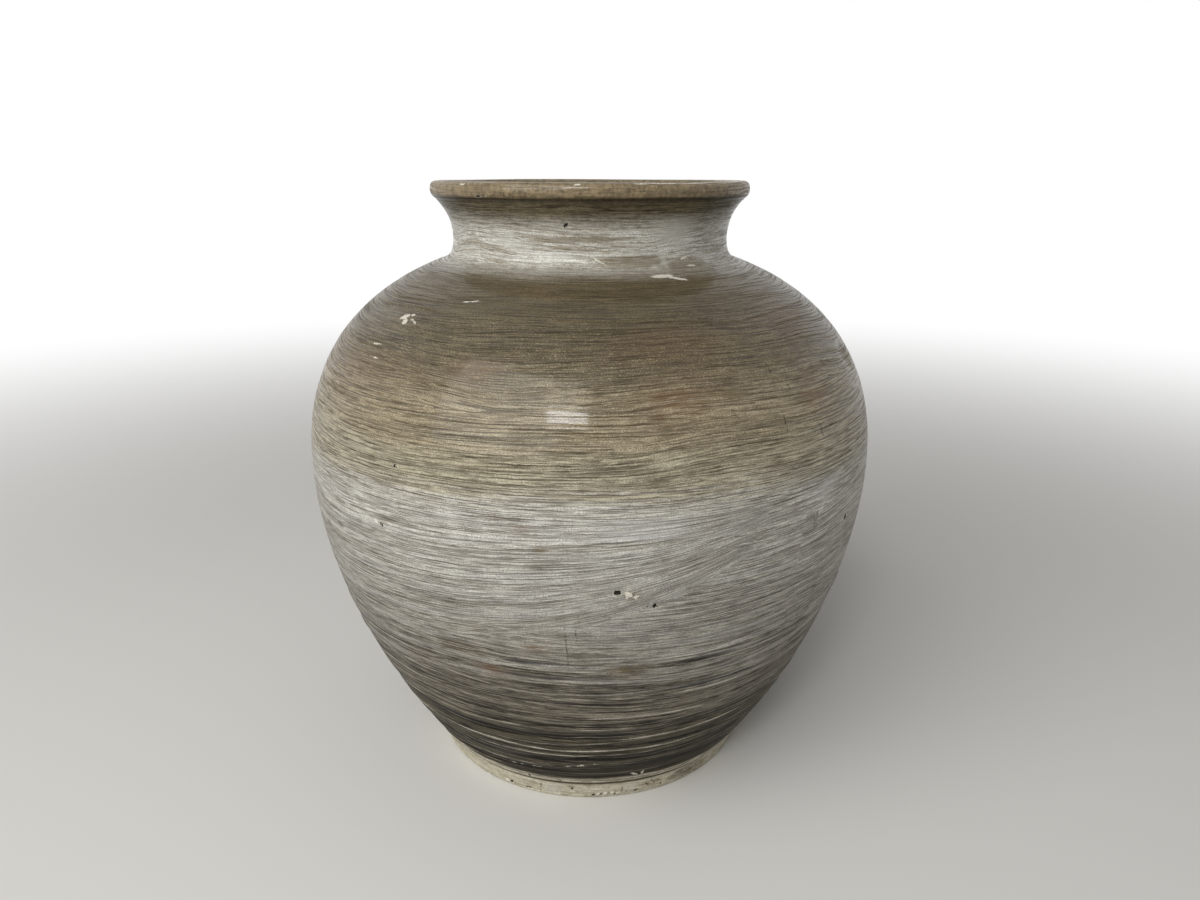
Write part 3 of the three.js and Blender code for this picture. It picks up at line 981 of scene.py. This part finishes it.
def fill_brush_hairs(tree, given):
    reach, shift = given["Reach"], given["Shift"]
    x, y, z = parted(tree, given["Strokes"])
    level = maths(tree, "DIVIDE", z, given["Pitch"])
    drift_x = maths(tree, "MULTIPLY_ADD", x, 0.8, shift)
    drift_place = joined(tree, x=drift_x, y=product(tree, y, 0.8), z=maths(tree, "DIVIDE", level, 6))
    level = weighted(tree, level, (noise_at(tree, drift_place)[0], 0.5, 5))
    number = maths(tree, "FLOOR", level)
    off = maths(tree, "ABSOLUTE", weighted(tree, -0.5, (level, number, 1)))
    half = product(tree, maths(tree, "DIVIDE", given["Thickness"], given["Pitch"]), 0.75)
    line = fade(tree, off, half, 0)
    reached = maths(tree, "MULTIPLY_ADD", x, reach, shift)
    hair_place = joined(tree, x=reached, y=product(tree, y, reach), z=product(tree, number, 7.3))
    strength = fade(tree, noise_at(tree, hair_place, 1)[0], 0.4, 0.6)
    return {"Value": product(tree, line, strength)}


def brush_hair_group():
    """Thin lines of an even thickness, one for each hair of the brush, that come and go round the jar."""
    inputs = [
        ("Strokes", VECTOR, (0, 0, 0)), ("Pitch", FLOAT, 1 * MM), ("Thickness", FLOAT, 0.3 * MM),
        ("Reach", FLOAT, 4), ("Shift", FLOAT, 0),
    ]
    return shared_group("Brush hairs", inputs, [("Value", FLOAT)], fill_brush_hairs)


# The tone of the jar at heights in millimetres: each name is a light and a dark colour of JarColours
TONES = (
    # The groove's stops at 9.9 and 12 mm paint the shade in the turned groove over the foot.
    (0, "clay"), (9.2, "clay"), (9.9, "groove"), (12.0, "groove"), (12.5, "edge"), (15.5, "edge"),
    # The tones from 16.6 to 79 mm are darkened towards the foot, partly with painted shade of the
    # downward-facing lower wall.
    (16.6, "band"), (25, "band"), (31, "wash"), (54, "wash"), (68, "grey"), (79, "grey"), (104, "pale"),
    (157, "white"), (165, "white"), (172.5, "khaki"), (179, "khaki"), (190, "brown"), (201, "brown"),
    # The olive band's stops, from 219 to 242 mm, are darkened with painted shade on the top of the shoulder.
    (219, "olive"), (242, "olive"), (248.5, "neck"), (261, "neck"), (268.5, "olive_in_lip_shade"), (272.4, "olive_in_lip_shade"),
    # From 268.5 mm, the tone under the lip and the dark band's two stops under the bead are partly painted
    # shade: the shade and the shadow line under the lip's overhang.
    (273.1, "band"), (273.9, "band"), (274.7, "lip"), (279.5, "lip"),
)


def tone_stops(outline):
    """How far up the outside each tone lies, over the lip and a little way down the inside."""
    stops = [(outline.along_at(height), tone) for height, tone in TONES]
    return stops + [(outline.along_start("lip_roll"), "lip"), (outline.along_start("lip_inside"), "inside")]


def tone_ramp(tree, share, stops, end, tones):
    """The colour at a share of the way up, from the stops and their colours."""
    ramp = add(tree, "ShaderNodeValToRGB", {"Fac": share})
    elements = ramp.color_ramp.elements
    elements.remove(elements[1])
    for number, (along, tone) in enumerate(stops):
        element = elements.new(along / end) if number else elements[0]
        element.position = along / end
        element.color = rgba(tones[tone])
    return ramp.outputs["Color"]


def fill_slip_colour(tree, given, jar, outline):
    end = outline.along_start("flare_inside")
    stops = tone_stops(outline)
    reached = maths(tree, "DIVIDE", given["Along"], end, clamp=True)
    shades = []
    for shade in ("dark", "light"):
        tones = {tone: getattr(jar.colours, f"{tone}_{shade}") for _, tone in stops}
        shades.append(tone_ramp(tree, reached, stops, end, tones))
    return {"Colour": blend(tree, given["Streak"], *shades)}


def slip_colour_group(jar, outline):
    """The colour of the slip by how far up the outside it lies, light or dark by the brush lines."""
    inputs = [("Along", FLOAT, 0), ("Streak", FLOAT, 0.5)]
    return shared_group("Slip colour", inputs, [("Colour", COLOUR)], fill_slip_colour, jar, outline)


def fill_grain(tree, given):
    place = add(tree, "ShaderNodeTexCoord").outputs["Object"]
    fine = vectors(tree, "DIVIDE", place, given["Size"])
    broad = vectors(tree, "DIVIDE", fine, (7, 7, 4))
    spaced = vectors(tree, "DIVIDE", place, given["Spacing"])
    cells = add(tree, "ShaderNodeTexVoronoi", {"Vector": spaced, "Scale": 1})
    chance = add(tree, "ShaderNodeSeparateColor", {0: cells.outputs["Color"]}).outputs
    near = fade(tree, cells.outputs["Distance"], fade(tree, chance[1], 0, 1, 0.04, 0.11), 0)
    chosen = maths(tree, "LESS_THAN", chance[0], given["Share"])
    return {
        "Grain": noise_at(tree, fine, 2)[0],
        "Mottle": fade(tree, noise_at(tree, broad, 4, 0.65)[0], 0.3, 0.7),
        "Specks": product(tree, near, chosen),
    }


def grain_group():
    """The grain of the clay body, and the specks and pinholes in it."""
    inputs = [("Size", FLOAT, 1 * MM), ("Spacing", FLOAT, 6 * MM), ("Share", FLOAT, 0.3)]
    outputs = [("Grain", FLOAT), ("Mottle", FLOAT), ("Specks", FLOAT)]
    return shared_group("Clay grain", inputs, outputs, fill_grain)


def fill_mark(tree, given):
    away = vectors(tree, "SUBTRACT", given["Place"], given["Centre"])
    to_length = joined(tree, x=given["Radius"], y=1)
    away = vectors(tree, "MULTIPLY_ADD", away, to_length, given["Ragged"])
    turn = maths(tree, "MULTIPLY", given["Tilt"], -1)
    turned = add(tree, "ShaderNodeVectorRotate", {"Vector": away, "Angle": turn}, rotation_type="Z_AXIS")
    share = vectors(tree, "DIVIDE", turned.outputs[0], given["Half size"])
    return {"Near": maths(tree, "SUBTRACT", 1, size_of(tree, share), clamp=True)}


def mark_group():
    """How near a point lies to the middle of a mark: 1 in the middle, 0 at the edge."""
    inputs = [
        ("Place", VECTOR, (0, 0, 0)), ("Ragged", VECTOR, (0, 0, 0)), ("Centre", VECTOR, (0, 0, 0)),
        ("Radius", FLOAT, 0.1), ("Tilt", FLOAT, 0), ("Half size", VECTOR, (1, 1, 1)),
    ]
    return shared_group("Mark of wear", inputs, [("Near", FLOAT)], fill_mark)


# The brush's patterns in the slip

# Noise along the strokes: pitch in brush lines, changes in a radian, shift, detail and contrast
LINES = {
    "fine": (0.45, 2.4, 3.1, 2, 3.0),
    "broad": (2.4, 1.7, 31.7, 2, 2.2),
    "flakes": (1.1, 12, 97.1, 2, 2.8),
    "grit": (0.4, 16, 113.9, 1, 3.2),
    "nicks": (1.76, 45, 131.3, 2, 2.8),
}

# Single hairs of the brush: pitch in brush lines, thickness in millimetres, changes in a radian and shift
HAIRS = {
    "hairs": (1.5, 0.6, 3.4, 57.3),
    "thin_hairs": (0.7, 0.42, 5.0, 43.9),
    "thick_hairs": (3.7, 0.9, 2.0, 23.1),
    "pale_hairs": (2.9, 0.5, 1.3, 67.7),
}

# The two heights in millimetres between which each zone lies, and how softly it ends
ZONES = {
    "brushed": (14, 272, 1.5),
    "free": (28, 238, 8),
    "low": (16, 104, 4),
    "calm": (84, 236, 10),
    "olive": (226, 246, 6),
}

# Zones of slip, whose ends follow the brush lines
SLIP_ZONES = {
    "in_brown": (172, 244, 6),
    "in_white": (84, 168, 8),
    "flecked": (172, 226, 10),
}


def brush_lines(tree, strokes, pitch, reach, shift, detail, contrast):
    return use_group(
        tree, brush_line_group(), Strokes=strokes, Pitch=pitch, Reach=reach, Shift=shift, Detail=detail,
        Contrast=contrast,
    )["Value"]


def brush_hairs(tree, strokes, pitch, thickness, reach, shift):
    return use_group(
        tree, brush_hair_group(), Strokes=strokes, Pitch=pitch, Thickness=thickness, Reach=reach,
        Shift=shift,
    )["Value"]


def top_strokes(tree, under, waver):
    """The strokes on top, with slanted ones over the first coat inside ragged edges, and their relief."""
    layers = add(tree, "ShaderNodeAttribute", attribute_name=LAYERS).outputs["Vector"]
    over, within, relief = parted(tree, layers)
    x, y, _ = parted(tree, under)
    slanted = joined(tree, x=x, y=y, z=over)
    edge = brush_lines(tree, under, 2.2 * MM, 3.2, 13.7, 2, 2.2)
    chosen = maths(tree, "GREATER_THAN", weighted(tree, within, (edge, 0.5, 1.5)), 0)
    top = add(tree, "ShaderNodeMix", {0: chosen, 4: under, 5: slanted}, data_type="VECTOR").outputs[1]
    sideways = joined(tree, z=weighted(tree, 0, (waver, 0.5, 0.2 * MM)))
    return vectors(tree, "ADD", top, sideways), relief


def between(tree, along, outline, low, high, soft):
    """1 between two heights in millimetres, and 0 beyond."""
    rise = fade(tree, along, outline.along_at(low - soft), outline.along_at(low + soft))
    fall = fade(tree, along, outline.along_at(high - soft), outline.along_at(high + soft), 1, 0)
    return product(tree, rise, fall)


def up_the_jar(tree, outline, skin, low, high, start=0.0, end=1.0):
    """A smooth step from one height in millimetres to another."""
    return fade(tree, skin.along, outline.along_at(low), outline.along_at(high), start, end)


def slip_level(tree, skin):
    """The level at which the colour of the slip is read, since brush lines drag it up and down."""
    broad, fine = skin.broad, skin.fine
    shift = weighted(tree, 0, (broad, 0.5, 6 * MM), (fine, 0.5, 6 * MM), (skin.wander, 0.5, 10 * MM))
    ragged = product(tree, weighted(tree, 0, (broad, 0.5, 2 * MM), (fine, 0.5, 1 * MM)), skin.brushed)
    return maths(tree, "ADD", maths(tree, "MULTIPLY_ADD", shift, skin.free, skin.along), ragged)


def skin_patterns(tree, jar, outline):
    """The grain, the brush's patterns and the zones at a point of the skin, by name."""
    place = add(tree, "ShaderNodeUVMap", uv_map=PLACE_MAP).outputs["UV"]
    grain = use_group(tree, grain_group(), Size=0.45 * MM, Spacing=5.5 * MM, Share=0.22)
    under = add(tree, "ShaderNodeAttribute", attribute_name=STROKES).outputs["Vector"]
    strokes, relief = top_strokes(tree, under, grain["Mottle"])
    pitch = jar.surface.line_pitch
    skin = SimpleNamespace(
        place=place, along=parted(tree, place)[1], relief=relief,
        grain=grain["Grain"], mottle=grain["Mottle"], specks=grain["Specks"],
        wander=brush_lines(tree, under, 45 * MM, 1.3, 71.9, 1, 1.6),
    )
    for name, (lines, *rest) in LINES.items():
        setattr(skin, name, brush_lines(tree, strokes, lines * pitch, *rest))
    for name, (lines, thickness, *rest) in HAIRS.items():
        setattr(skin, name, brush_hairs(tree, strokes, lines * pitch, thickness * MM, *rest))
    for name, zone in ZONES.items():
        setattr(skin, name, between(tree, skin.along, outline, *zone))
    skin.level = slip_level(tree, skin)
    for name, zone in SLIP_ZONES.items():
        setattr(skin, name, between(tree, skin.level, outline, *zone))
    return skin


# The finish of the jar

def slip_streak(tree, outline, skin):
    """How light the slip or the clay is, from the dark to the light tone of its zone."""
    calm = skin.calm
    streak = weighted(
        tree, 0.6,
        (skin.fine, 0.5, mixed(tree, calm, 0.95, 0.6)),
        # The relief term is painted shade and highlight: sunk strokes darker, raised ones lighter.
        (skin.relief, 0, mixed(tree, calm, 1.0, 0.4)),
        (skin.broad, 0.5, 0.06),
        (skin.flakes, 0.5, 0.2),
        (skin.grit, 0.5, mixed(tree, calm, 0.6, 0.7)),
    )
    grainy = weighted(tree, 0.5, (skin.grain, 0.5, 1.6))
    streak = mixed(tree, product(tree, skin.olive, 0.55), streak, grainy)
    uneven = weighted(tree, 0, (skin.broad, 0.5, 0.6), (skin.flakes, 0.5, 0.4))
    patchy = weighted(tree, 0, (skin.low, 0, 1), (skin.in_brown, 0, 0.4))
    streak = maths(tree, "MULTIPLY_ADD", uneven, patchy, streak)
    on_lip = up_the_jar(tree, outline, skin, 200, 274, 0, 0.5)
    bare = weighted(
        tree, 0.6, (skin.mottle, 0.5, 0.25), (skin.grain, 0.5, 0.6), (skin.fine, 0.5, 0.4),
        (skin.flakes, 0.5, 0.4), (skin.nicks, 0.5, on_lip),
    )
    return maths(tree, "ADD", mixed(tree, skin.brushed, bare, streak), 0, clamp=True)


def dark_hairs(tree, outline, skin):
    """The dark lines that single hairs of the brush leave."""
    plain = product(tree, skin.hairs, mixed(tree, skin.in_white, 1, 0.72))
    lines = maths(tree, "MAXIMUM", plain, product(tree, skin.thin_hairs, 0.9))
    thick = product(tree, skin.thick_hairs, weighted(tree, 0.12, (skin.low, 0, 0.88)))
    lines = maths(tree, "MAXIMUM", lines, thick)
    fainter_on_neck = up_the_jar(tree, outline, skin, 228, 246, 1, 0.5)
    return product(tree, lines, skin.brushed, fainter_on_neck, fade(tree, skin.grain, 0.36, 0.6, 0.4, 1.1))


def crest_slip_and_highlight(tree, skin):
    """The thin crests over the foot: white slip, with painted highlight where the ridges stand out."""
    lit_ridges = fade(tree, skin.relief, 0.18, 0.36)
    crests = maths(tree, "MAXIMUM", lit_ridges, product(tree, skin.pale_hairs, 0.6))
    kept_by_lines = fade(tree, skin.fine, 0.1, 0.5, 0.5, 1)
    kept_by_flakes = fade(tree, skin.flakes, 0.2, 0.7, 0.55, 1)
    return product(tree, crests, skin.low, kept_by_lines, kept_by_flakes)


def tints(tree, skin, streak, crests):
    """Tints, painted shade and highlight over the slip, in order: each one's colour name and its share."""
    # Painted shade: the relief's hollows over the foot take the dark band's colour.
    hollows = product(tree, fade(tree, skin.relief, -0.08, -0.38), skin.low)
    flecks = product(tree, fade(tree, skin.grain, 0.56, 0.68), skin.flecked)
    return (
        ("band_dark", product(tree, hollows, fade(tree, skin.fine, 0.25, 0.85, 0.92, 0.55))),
        ("crest", product(tree, crests, 0.85)),
        ("khaki_light", product(tree, flecks, fade(tree, streak, 0.2, 0.8, 0.2, 1), 0.35)),
        ("blush", product(tree, fade(tree, skin.wander, 0.5, 0.85), skin.in_brown, 0.2)),
        ("cool", product(tree, fade(tree, skin.broad, 0.35, 0.8), skin.in_white, 0.14)),
    )


def slip_colour(tree, jar, outline, skin, streak, hairs, crests):
    """The colour of the slip and the clay, with painted shade and highlights, before the marks of wear."""
    base = use_group(tree, slip_colour_group(jar, outline), Along=skin.level, Streak=streak)["Colour"]
    base = blend(tree, hairs, base, rgba(jar.colours.line), "MULTIPLY")
    for name, share in tints(tree, skin, streak, crests):
        base = blend(tree, share, base, rgba(getattr(jar.colours, name)))
    coarse = mixed(tree, skin.brushed, 0.9, 2.0)
    grainy = weighted(tree, 1, (skin.grain, 0.5, coarse), (skin.mottle, 0.5, 0.12))
    base = blend(tree, 1.0, base, grainy, "MULTIPLY")
    return blend(tree, product(tree, skin.specks, 0.55), base, rgba(jar.colours.pit))


def glaze_smoothness(tree, outline, skin):
    """0 on bare clay, and up to 1 where the glaze lies thick."""
    glazed = up_the_jar(tree, outline, skin, 15, 19)
    thick = up_the_jar(tree, outline, skin, 40, 150, 0.35)
    return product(tree, glazed, thick, fade(tree, skin.fine, 0.2, 0.6, 0.4, 1))


def fine_height(tree, skin, hairs, crests):
    """The relief that is too fine for the mesh, in millimetres."""
    return weighted(
        tree, 0, (product(tree, skin.fine, skin.brushed), 0, 0.06), (hairs, 0, -0.2), (crests, 0, 0.2),
        (skin.grain, 0, mixed(tree, skin.brushed, 0.07, 0.14)), (skin.specks, 0, -0.12),
    )


def wear_masks(tree, place, outline, marks):
    """For each kind of mark, how near a point lies to one of its marks."""
    position = add(tree, "ShaderNodeTexCoord").outputs["Object"]
    ragged = vectors(tree, "SUBTRACT", noise_at(tree, position, 5, scale=1300)["Color"], (0.5, 0.5, 0.5))
    ragged = vectors(tree, "MULTIPLY", ragged, (2.6 * MM, 1.9 * MM, 0))
    masks = {}
    for mark in marks:
        along = outline.along_at(mark.height)
        near = use_group(
            tree, mark_group(), Place=place, Ragged=ragged, Centre=(math.radians(mark.bearing), along, 0),
            Radius=outline.radius_at(along), Tilt=math.radians(mark.tilt),
            Half_size=(mark.wide * MM, mark.tall * MM, 1),
        )["Near"]
        masks[mark.kind] = maths(tree, "MAXIMUM", masks[mark.kind], near) if mark.kind in masks else near
    return masks


Wear = namedtuple("Wear", "colour start end share sunk dull broken")

# How each kind of mark shows, the lowest first: its colour, where it fades in from its edge, its share, how
# far it sinks and dulls the glaze, and if the brush lines break it up
WEAR = {
    "patch": Wear("olive_light", 0.0, 0.5, 0.65, 0.0, 0.0, False),
    "blush": Wear("blush", 0.0, 0.9, 0.55, 0.0, 0.0, True),
    "cool": Wear("cool", 0.0, 0.9, 0.4, 0.0, 0.0, True),
    # Haze is whitish bloom, and on the neck's front a painted highlight.
    "haze_and_highlight": Wear("neck_light", 0.0, 0.8, 0.55, 0.0, 0.3, True),
    "smear": Wear("smear", 0.0, 0.7, 0.85, 0.0, 0.2, True),
    "stain": Wear("stain", 0.0, 0.7, 0.65, 0.0, 0.4, True),
    "crack": Wear("pit", 0.05, 0.5, 0.8, 0.15, 0.6, False),
    "chip": Wear("chip", 0.02, 0.3, 0.8, 0.1, 1.0, False),
    "rim": Wear("clay_light", 0.0, 0.25, 0.5, -0.1, 0.8, False),
    "pit": Wear("pit", 0.28, 0.46, 0.98, 0.5, 1.0, False),
}


def shown_masks(tree, skin, outline, marks):
    """The masks of the marks, with a pale rim round each pit and cracks that come and go."""
    masks = wear_masks(tree, skin.place, outline, marks)
    if "pit" in masks:
        masks["rim"] = masks["pit"]
    if "crack" in masks:
        masks["crack"] = product(tree, masks["crack"], fade(tree, skin.mottle, 0.3, 0.6, 0.35, 1))
    return masks


def worn(tree, jar, masks, streak, base, height, smooth):
    """The colour, height and smoothness with the marks on them."""
    broken = fade(tree, streak, 0.9, 0.15, 0.35, 1)
    for kind, wear in WEAR.items():
        if kind not in masks:
            continue
        mask = fade(tree, masks[kind], wear.start, wear.end)
        mask = product(tree, mask, broken) if wear.broken else mask
        base = blend(tree, product(tree, mask, wear.share), base, rgba(getattr(jar.colours, wear.colour)))
        height = weighted(tree, height, (mask, 0, -wear.sunk))
        smooth = product(tree, smooth, weighted(tree, 1, (mask, 0, -wear.dull)))
    return base, height, smooth


def fired_surface(name, jar, outline, lowest, highest):
    """Slip, clear glaze and bare clay as they lie on the jar, with the marks between two heights."""
    material = bpy.data.materials.new(name)
    tree = cleared_tree(material)
    skin = skin_patterns(tree, jar, outline)
    streak = slip_streak(tree, outline, skin)
    hairs = dark_hairs(tree, outline, skin)
    crests = crest_slip_and_highlight(tree, skin)
    base = slip_colour(tree, jar, outline, skin, streak, hairs, crests)
    height = fine_height(tree, skin, hairs, crests)
    smooth = glaze_smoothness(tree, outline, skin)
    marks = [mark for mark in all_marks(jar.surface) if lowest <= mark.height < highest]
    masks = shown_masks(tree, skin, outline, marks)
    base, height, smooth = worn(tree, jar, masks, streak, base, height, smooth)

    bump_node = add(tree, "ShaderNodeBump", {"Height": height, "Distance": MM, "Strength": 1})
    shader = add(tree, "ShaderNodeBsdfPrincipled", {
        "Base Color": base,
        "Roughness": weighted(tree, 0.86, (smooth, 0, -0.42)),
        "Specular IOR Level": 0.2,
        "Coat Weight": product(tree, smooth, jar.surface.gloss),
        "Coat Roughness": 0.1,
        "Normal": bump_node.outputs["Normal"],
    })
    show(tree, "ShaderNodeOutputMaterial", shader.outputs["BSDF"])
    return material


# Pieces

def jar_of(context):
    scene = context.scene
    return Jar(scene.jar_shape, scene.jar_surface, scene.jar_colours)


def build_piece(context, name, node, parts, marked=(0, 0), closed=True):
    """A piece from parts of the skin, each from one run's start to another's, or from a hidden ring."""
    jar = jar_of(context)
    skin = Skin(jar)
    starts = skin.outline.starts
    strips = [
        skin.hidden_ring(part) if isinstance(part, str) else skin.strip(starts[part[0]], starts[part[1]])
        for part in parts
    ]
    mesh = turned_mesh(name, skin, strips, closed)
    piece = bpy.data.objects.new(name, mesh)
    context.scene.collection.objects.link(piece)
    mesh.materials.append(fired_surface(f"{name} surface", jar, skin.outline, *marked))
    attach(piece, "root")
    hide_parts(node)
    return piece


class JAR_OT_foot_ring(bpy.types.Operator):
    """Build the turned foot ring of bare clay"""

    bl_idname = "jar.foot_ring"
    bl_label = "Foot ring"

    def execute(self, context):
        parts = (("ring_bore", "lower_outside"), "floor_edge")
        build_piece(context, "turned_foot_ring", "foot_ring", parts, (0, 9))
        return {"FINISHED"}


class JAR_OT_floor(bpy.types.Operator):
    """Build the round floor on the foot ring's ledge"""

    bl_idname = "jar.floor"
    bl_label = "Floor"

    def execute(self, context):
        parts = (("under_floor", "ring_bore"), "floor_edge", ("floor_inside", "end"))
        build_piece(context, "floor_slab", "base_floor", parts, closed=False)
        return {"FINISHED"}


class JAR_OT_lower_wall(bpy.types.Operator):
    """Build the wall from the foot to the belly, in white slip brushed over a dark wash"""

    bl_idname = "jar.lower_wall"
    bl_label = "Lower wall"

    def execute(self, context):
        parts = (("lower_outside", "upper_outside"), ("wall_inside", "floor_inside"), "floor_edge")
        build_piece(context, "brushed_lower_wall", "lower_wall", parts, (9, 155))
        return {"FINISHED"}


class JAR_OT_upper_wall(bpy.types.Operator):
    """Build the wall from the belly over the shoulder, in brushed brown slip"""

    bl_idname = "jar.upper_wall"
    bl_label = "Upper wall"

    def execute(self, context):
        parts = (("upper_outside", "neck_hollow"), ("shoulder_inside", "wall_inside"))
        build_piece(context, "brushed_upper_wall", "upper_wall", parts, (155, 246))
        return {"FINISHED"}


class JAR_OT_neck(bpy.types.Operator):
    """Build the waisted neck, in white strokes"""

    bl_idname = "jar.neck"
    bl_label = "Neck"

    def execute(self, context):
        parts = (("neck_hollow", "lip_bead"), ("flare_inside", "shoulder_inside"))
        build_piece(context, "brushed_neck", "neck", parts, (246, 272))
        return {"FINISHED"}


class JAR_OT_lip(bpy.types.Operator):
    """Build the rolled lip"""

    bl_idname = "jar.lip"
    bl_label = "Lip"

    def execute(self, context):
        build_piece(context, "rolled_lip", "lip", (("lip_bead", "flare_inside"),), (272, 281))
        return {"FINISHED"}


# Stage

def add_camera(scene, stage):
    camera = bpy.data.objects.new("photo_camera", bpy.data.cameras.new("photo_camera"))
    camera.data.lens = stage.lens
    camera.data.clip_start = 10 * MM
    turn = Matrix.Rotation(-stage.camera_yaw, 4, "Z")
    tilt = Matrix.Rotation(math.pi / 2 - stage.camera_pitch, 4, "X")
    roll = Matrix.Rotation(stage.camera_roll, 4, "Z")
    place = Matrix.Translation((0, -stage.camera_distance, stage.camera_height))
    camera.matrix_world = place @ turn @ tilt @ roll
    scene.collection.objects.link(camera)
    scene.camera = camera


def add_lamp(scene, name, watts, wide, tall, bearing, elevation, distance):
    """A lamp that faces the middle of the jar, from a bearing and an elevation in degrees."""
    lamp = bpy.data.objects.new(name, bpy.data.lights.new(name, "AREA"))
    lamp.data.energy = watts
    lamp.data.shape = "RECTANGLE"
    lamp.data.size, lamp.data.size_y = wide, tall
    across, up = math.radians(bearing), math.radians(elevation)
    direction = Vector((math.sin(across) * math.cos(up), -math.cos(across) * math.cos(up), math.sin(up)))
    middle = Vector((0, 0, (CAD_BOX[0].z + CAD_BOX[1].z) / 2))
    place = Matrix.Translation(middle + direction * distance)
    lamp.matrix_world = place @ direction.to_track_quat("Z", "Y").to_matrix().to_4x4()
    scene.collection.objects.link(lamp)


def seen_directly(tree):
    """1 for rays that show the background itself: from the camera, reflected or let through."""
    path = add(tree, "ShaderNodeLightPath").outputs
    seen = maths(tree, "ADD", path["Is Camera Ray"], path["Is Glossy Ray"])
    return maths(tree, "ADD", seen, path["Is Transmission Ray"], clamp=True)


def add_world(scene, stage):
    world = bpy.data.worlds.new("pale_room")
    tree = cleared_tree(world)
    strength = weighted(tree, stage.ambient, (seen_directly(tree), 0, 1 - stage.ambient))
    background = add(tree, "ShaderNodeBackground", {"Color": (1, 1, 1, 1), "Strength": strength})
    show(tree, "ShaderNodeOutputWorld", background.outputs[0])
    scene.world = world


def floor_surface(stage):
    """A pale paint that fades into the background away from the jar."""
    material = bpy.data.materials.new("pale floor")
    tree = cleared_tree(material)
    away = size_of(tree, add(tree, "ShaderNodeNewGeometry").outputs["Position"])
    share = product(tree, fade(tree, away, 0.35, 1.5), seen_directly(tree))
    paint = add(tree, "ShaderNodeBsdfPrincipled", {"Base Color": rgba(stage.floor), "Roughness": 0.8})
    glow = add(tree, "ShaderNodeEmission", {"Color": (1, 1, 1, 1), "Strength": 1})
    faded = add(tree, "ShaderNodeMixShader", {0: share, 1: paint.outputs[0], 2: glow.outputs[0]})
    show(tree, "ShaderNodeOutputMaterial", faded.outputs[0])
    return material


def add_floor(scene, stage, half=6.0):
    corners = [(-half, -half, 0), (half, -half, 0), (half, half, 0), (-half, half, 0)]
    mesh = bpy.data.meshes.new("pale_floor")
    mesh.from_pydata(corners, [], [range(len(corners))])
    mesh.materials.append(floor_surface(stage))
    floor = bpy.data.objects.new("pale_floor", mesh)
    scene.collection.objects.link(floor)


class JAR_OT_stage(bpy.types.Operator):
    """Set up the camera, the lamps, the pale floor and the room's light"""

    bl_idname = "jar.stage"
    bl_label = "Stage"

    def execute(self, context):
        scene = context.scene
        stage = scene.jar_stage
        scene.view_settings.view_transform = "Standard"
        add_camera(scene, stage)
        add_lamp(scene, "key_light", stage.key_power, 1.4, 1.4, bearing=-38, elevation=36, distance=1.6)
        add_lamp(scene, "front_light", stage.front_power, 0.3, 0.15, bearing=-9, elevation=36, distance=1.3)
        add_world(scene, stage)
        add_floor(scene, stage)
        return {"FINISHED"}


# The add-on

OPERATORS = (
    JAR_OT_stage, JAR_OT_foot_ring, JAR_OT_floor, JAR_OT_lower_wall, JAR_OT_upper_wall, JAR_OT_neck,
    JAR_OT_lip,
)


class JAR_PT_panel(bpy.types.Panel):
    """Buttons for the jar's pieces, with its sizes and colours"""

    bl_idname = "JAR_PT_panel"
    bl_label = "Jar"
    bl_space_type = "VIEW_3D"
    bl_region_type = "UI"
    bl_category = "Jar"

    def draw(self, context):
        for operator in OPERATORS:
            self.layout.operator(operator.bl_idname)
        for name in SETTINGS:
            settings = getattr(context.scene, name)
            box = self.layout.box()
            for key in settings.__annotations__:
                box.prop(settings, key)


SETTINGS = {
    "jar_shape": JarShape,
    "jar_surface": JarSurface,
    "jar_colours": JarColours,
    "jar_stage": JarStage,
}
CLASSES = (*SETTINGS.values(), *OPERATORS, JAR_PT_panel)


def register():
    for cls in CLASSES:
        bpy.utils.register_class(cls)
    for name, cls in SETTINGS.items():
        setattr(bpy.types.Scene, name, PointerProperty(type=cls))


def unregister():
    for name in SETTINGS:
        delattr(bpy.types.Scene, name)
    for cls in reversed(CLASSES):
        bpy.utils.unregister_class(cls)


def main():
    register()
    bpy.ops.jar.stage()
    bpy.ops.jar.foot_ring()
    bpy.ops.jar.floor()
    bpy.ops.jar.lower_wall()
    bpy.ops.jar.upper_wall()
    bpy.ops.jar.neck()
    bpy.ops.jar.lip()


if __name__ == "__main__":
    main()
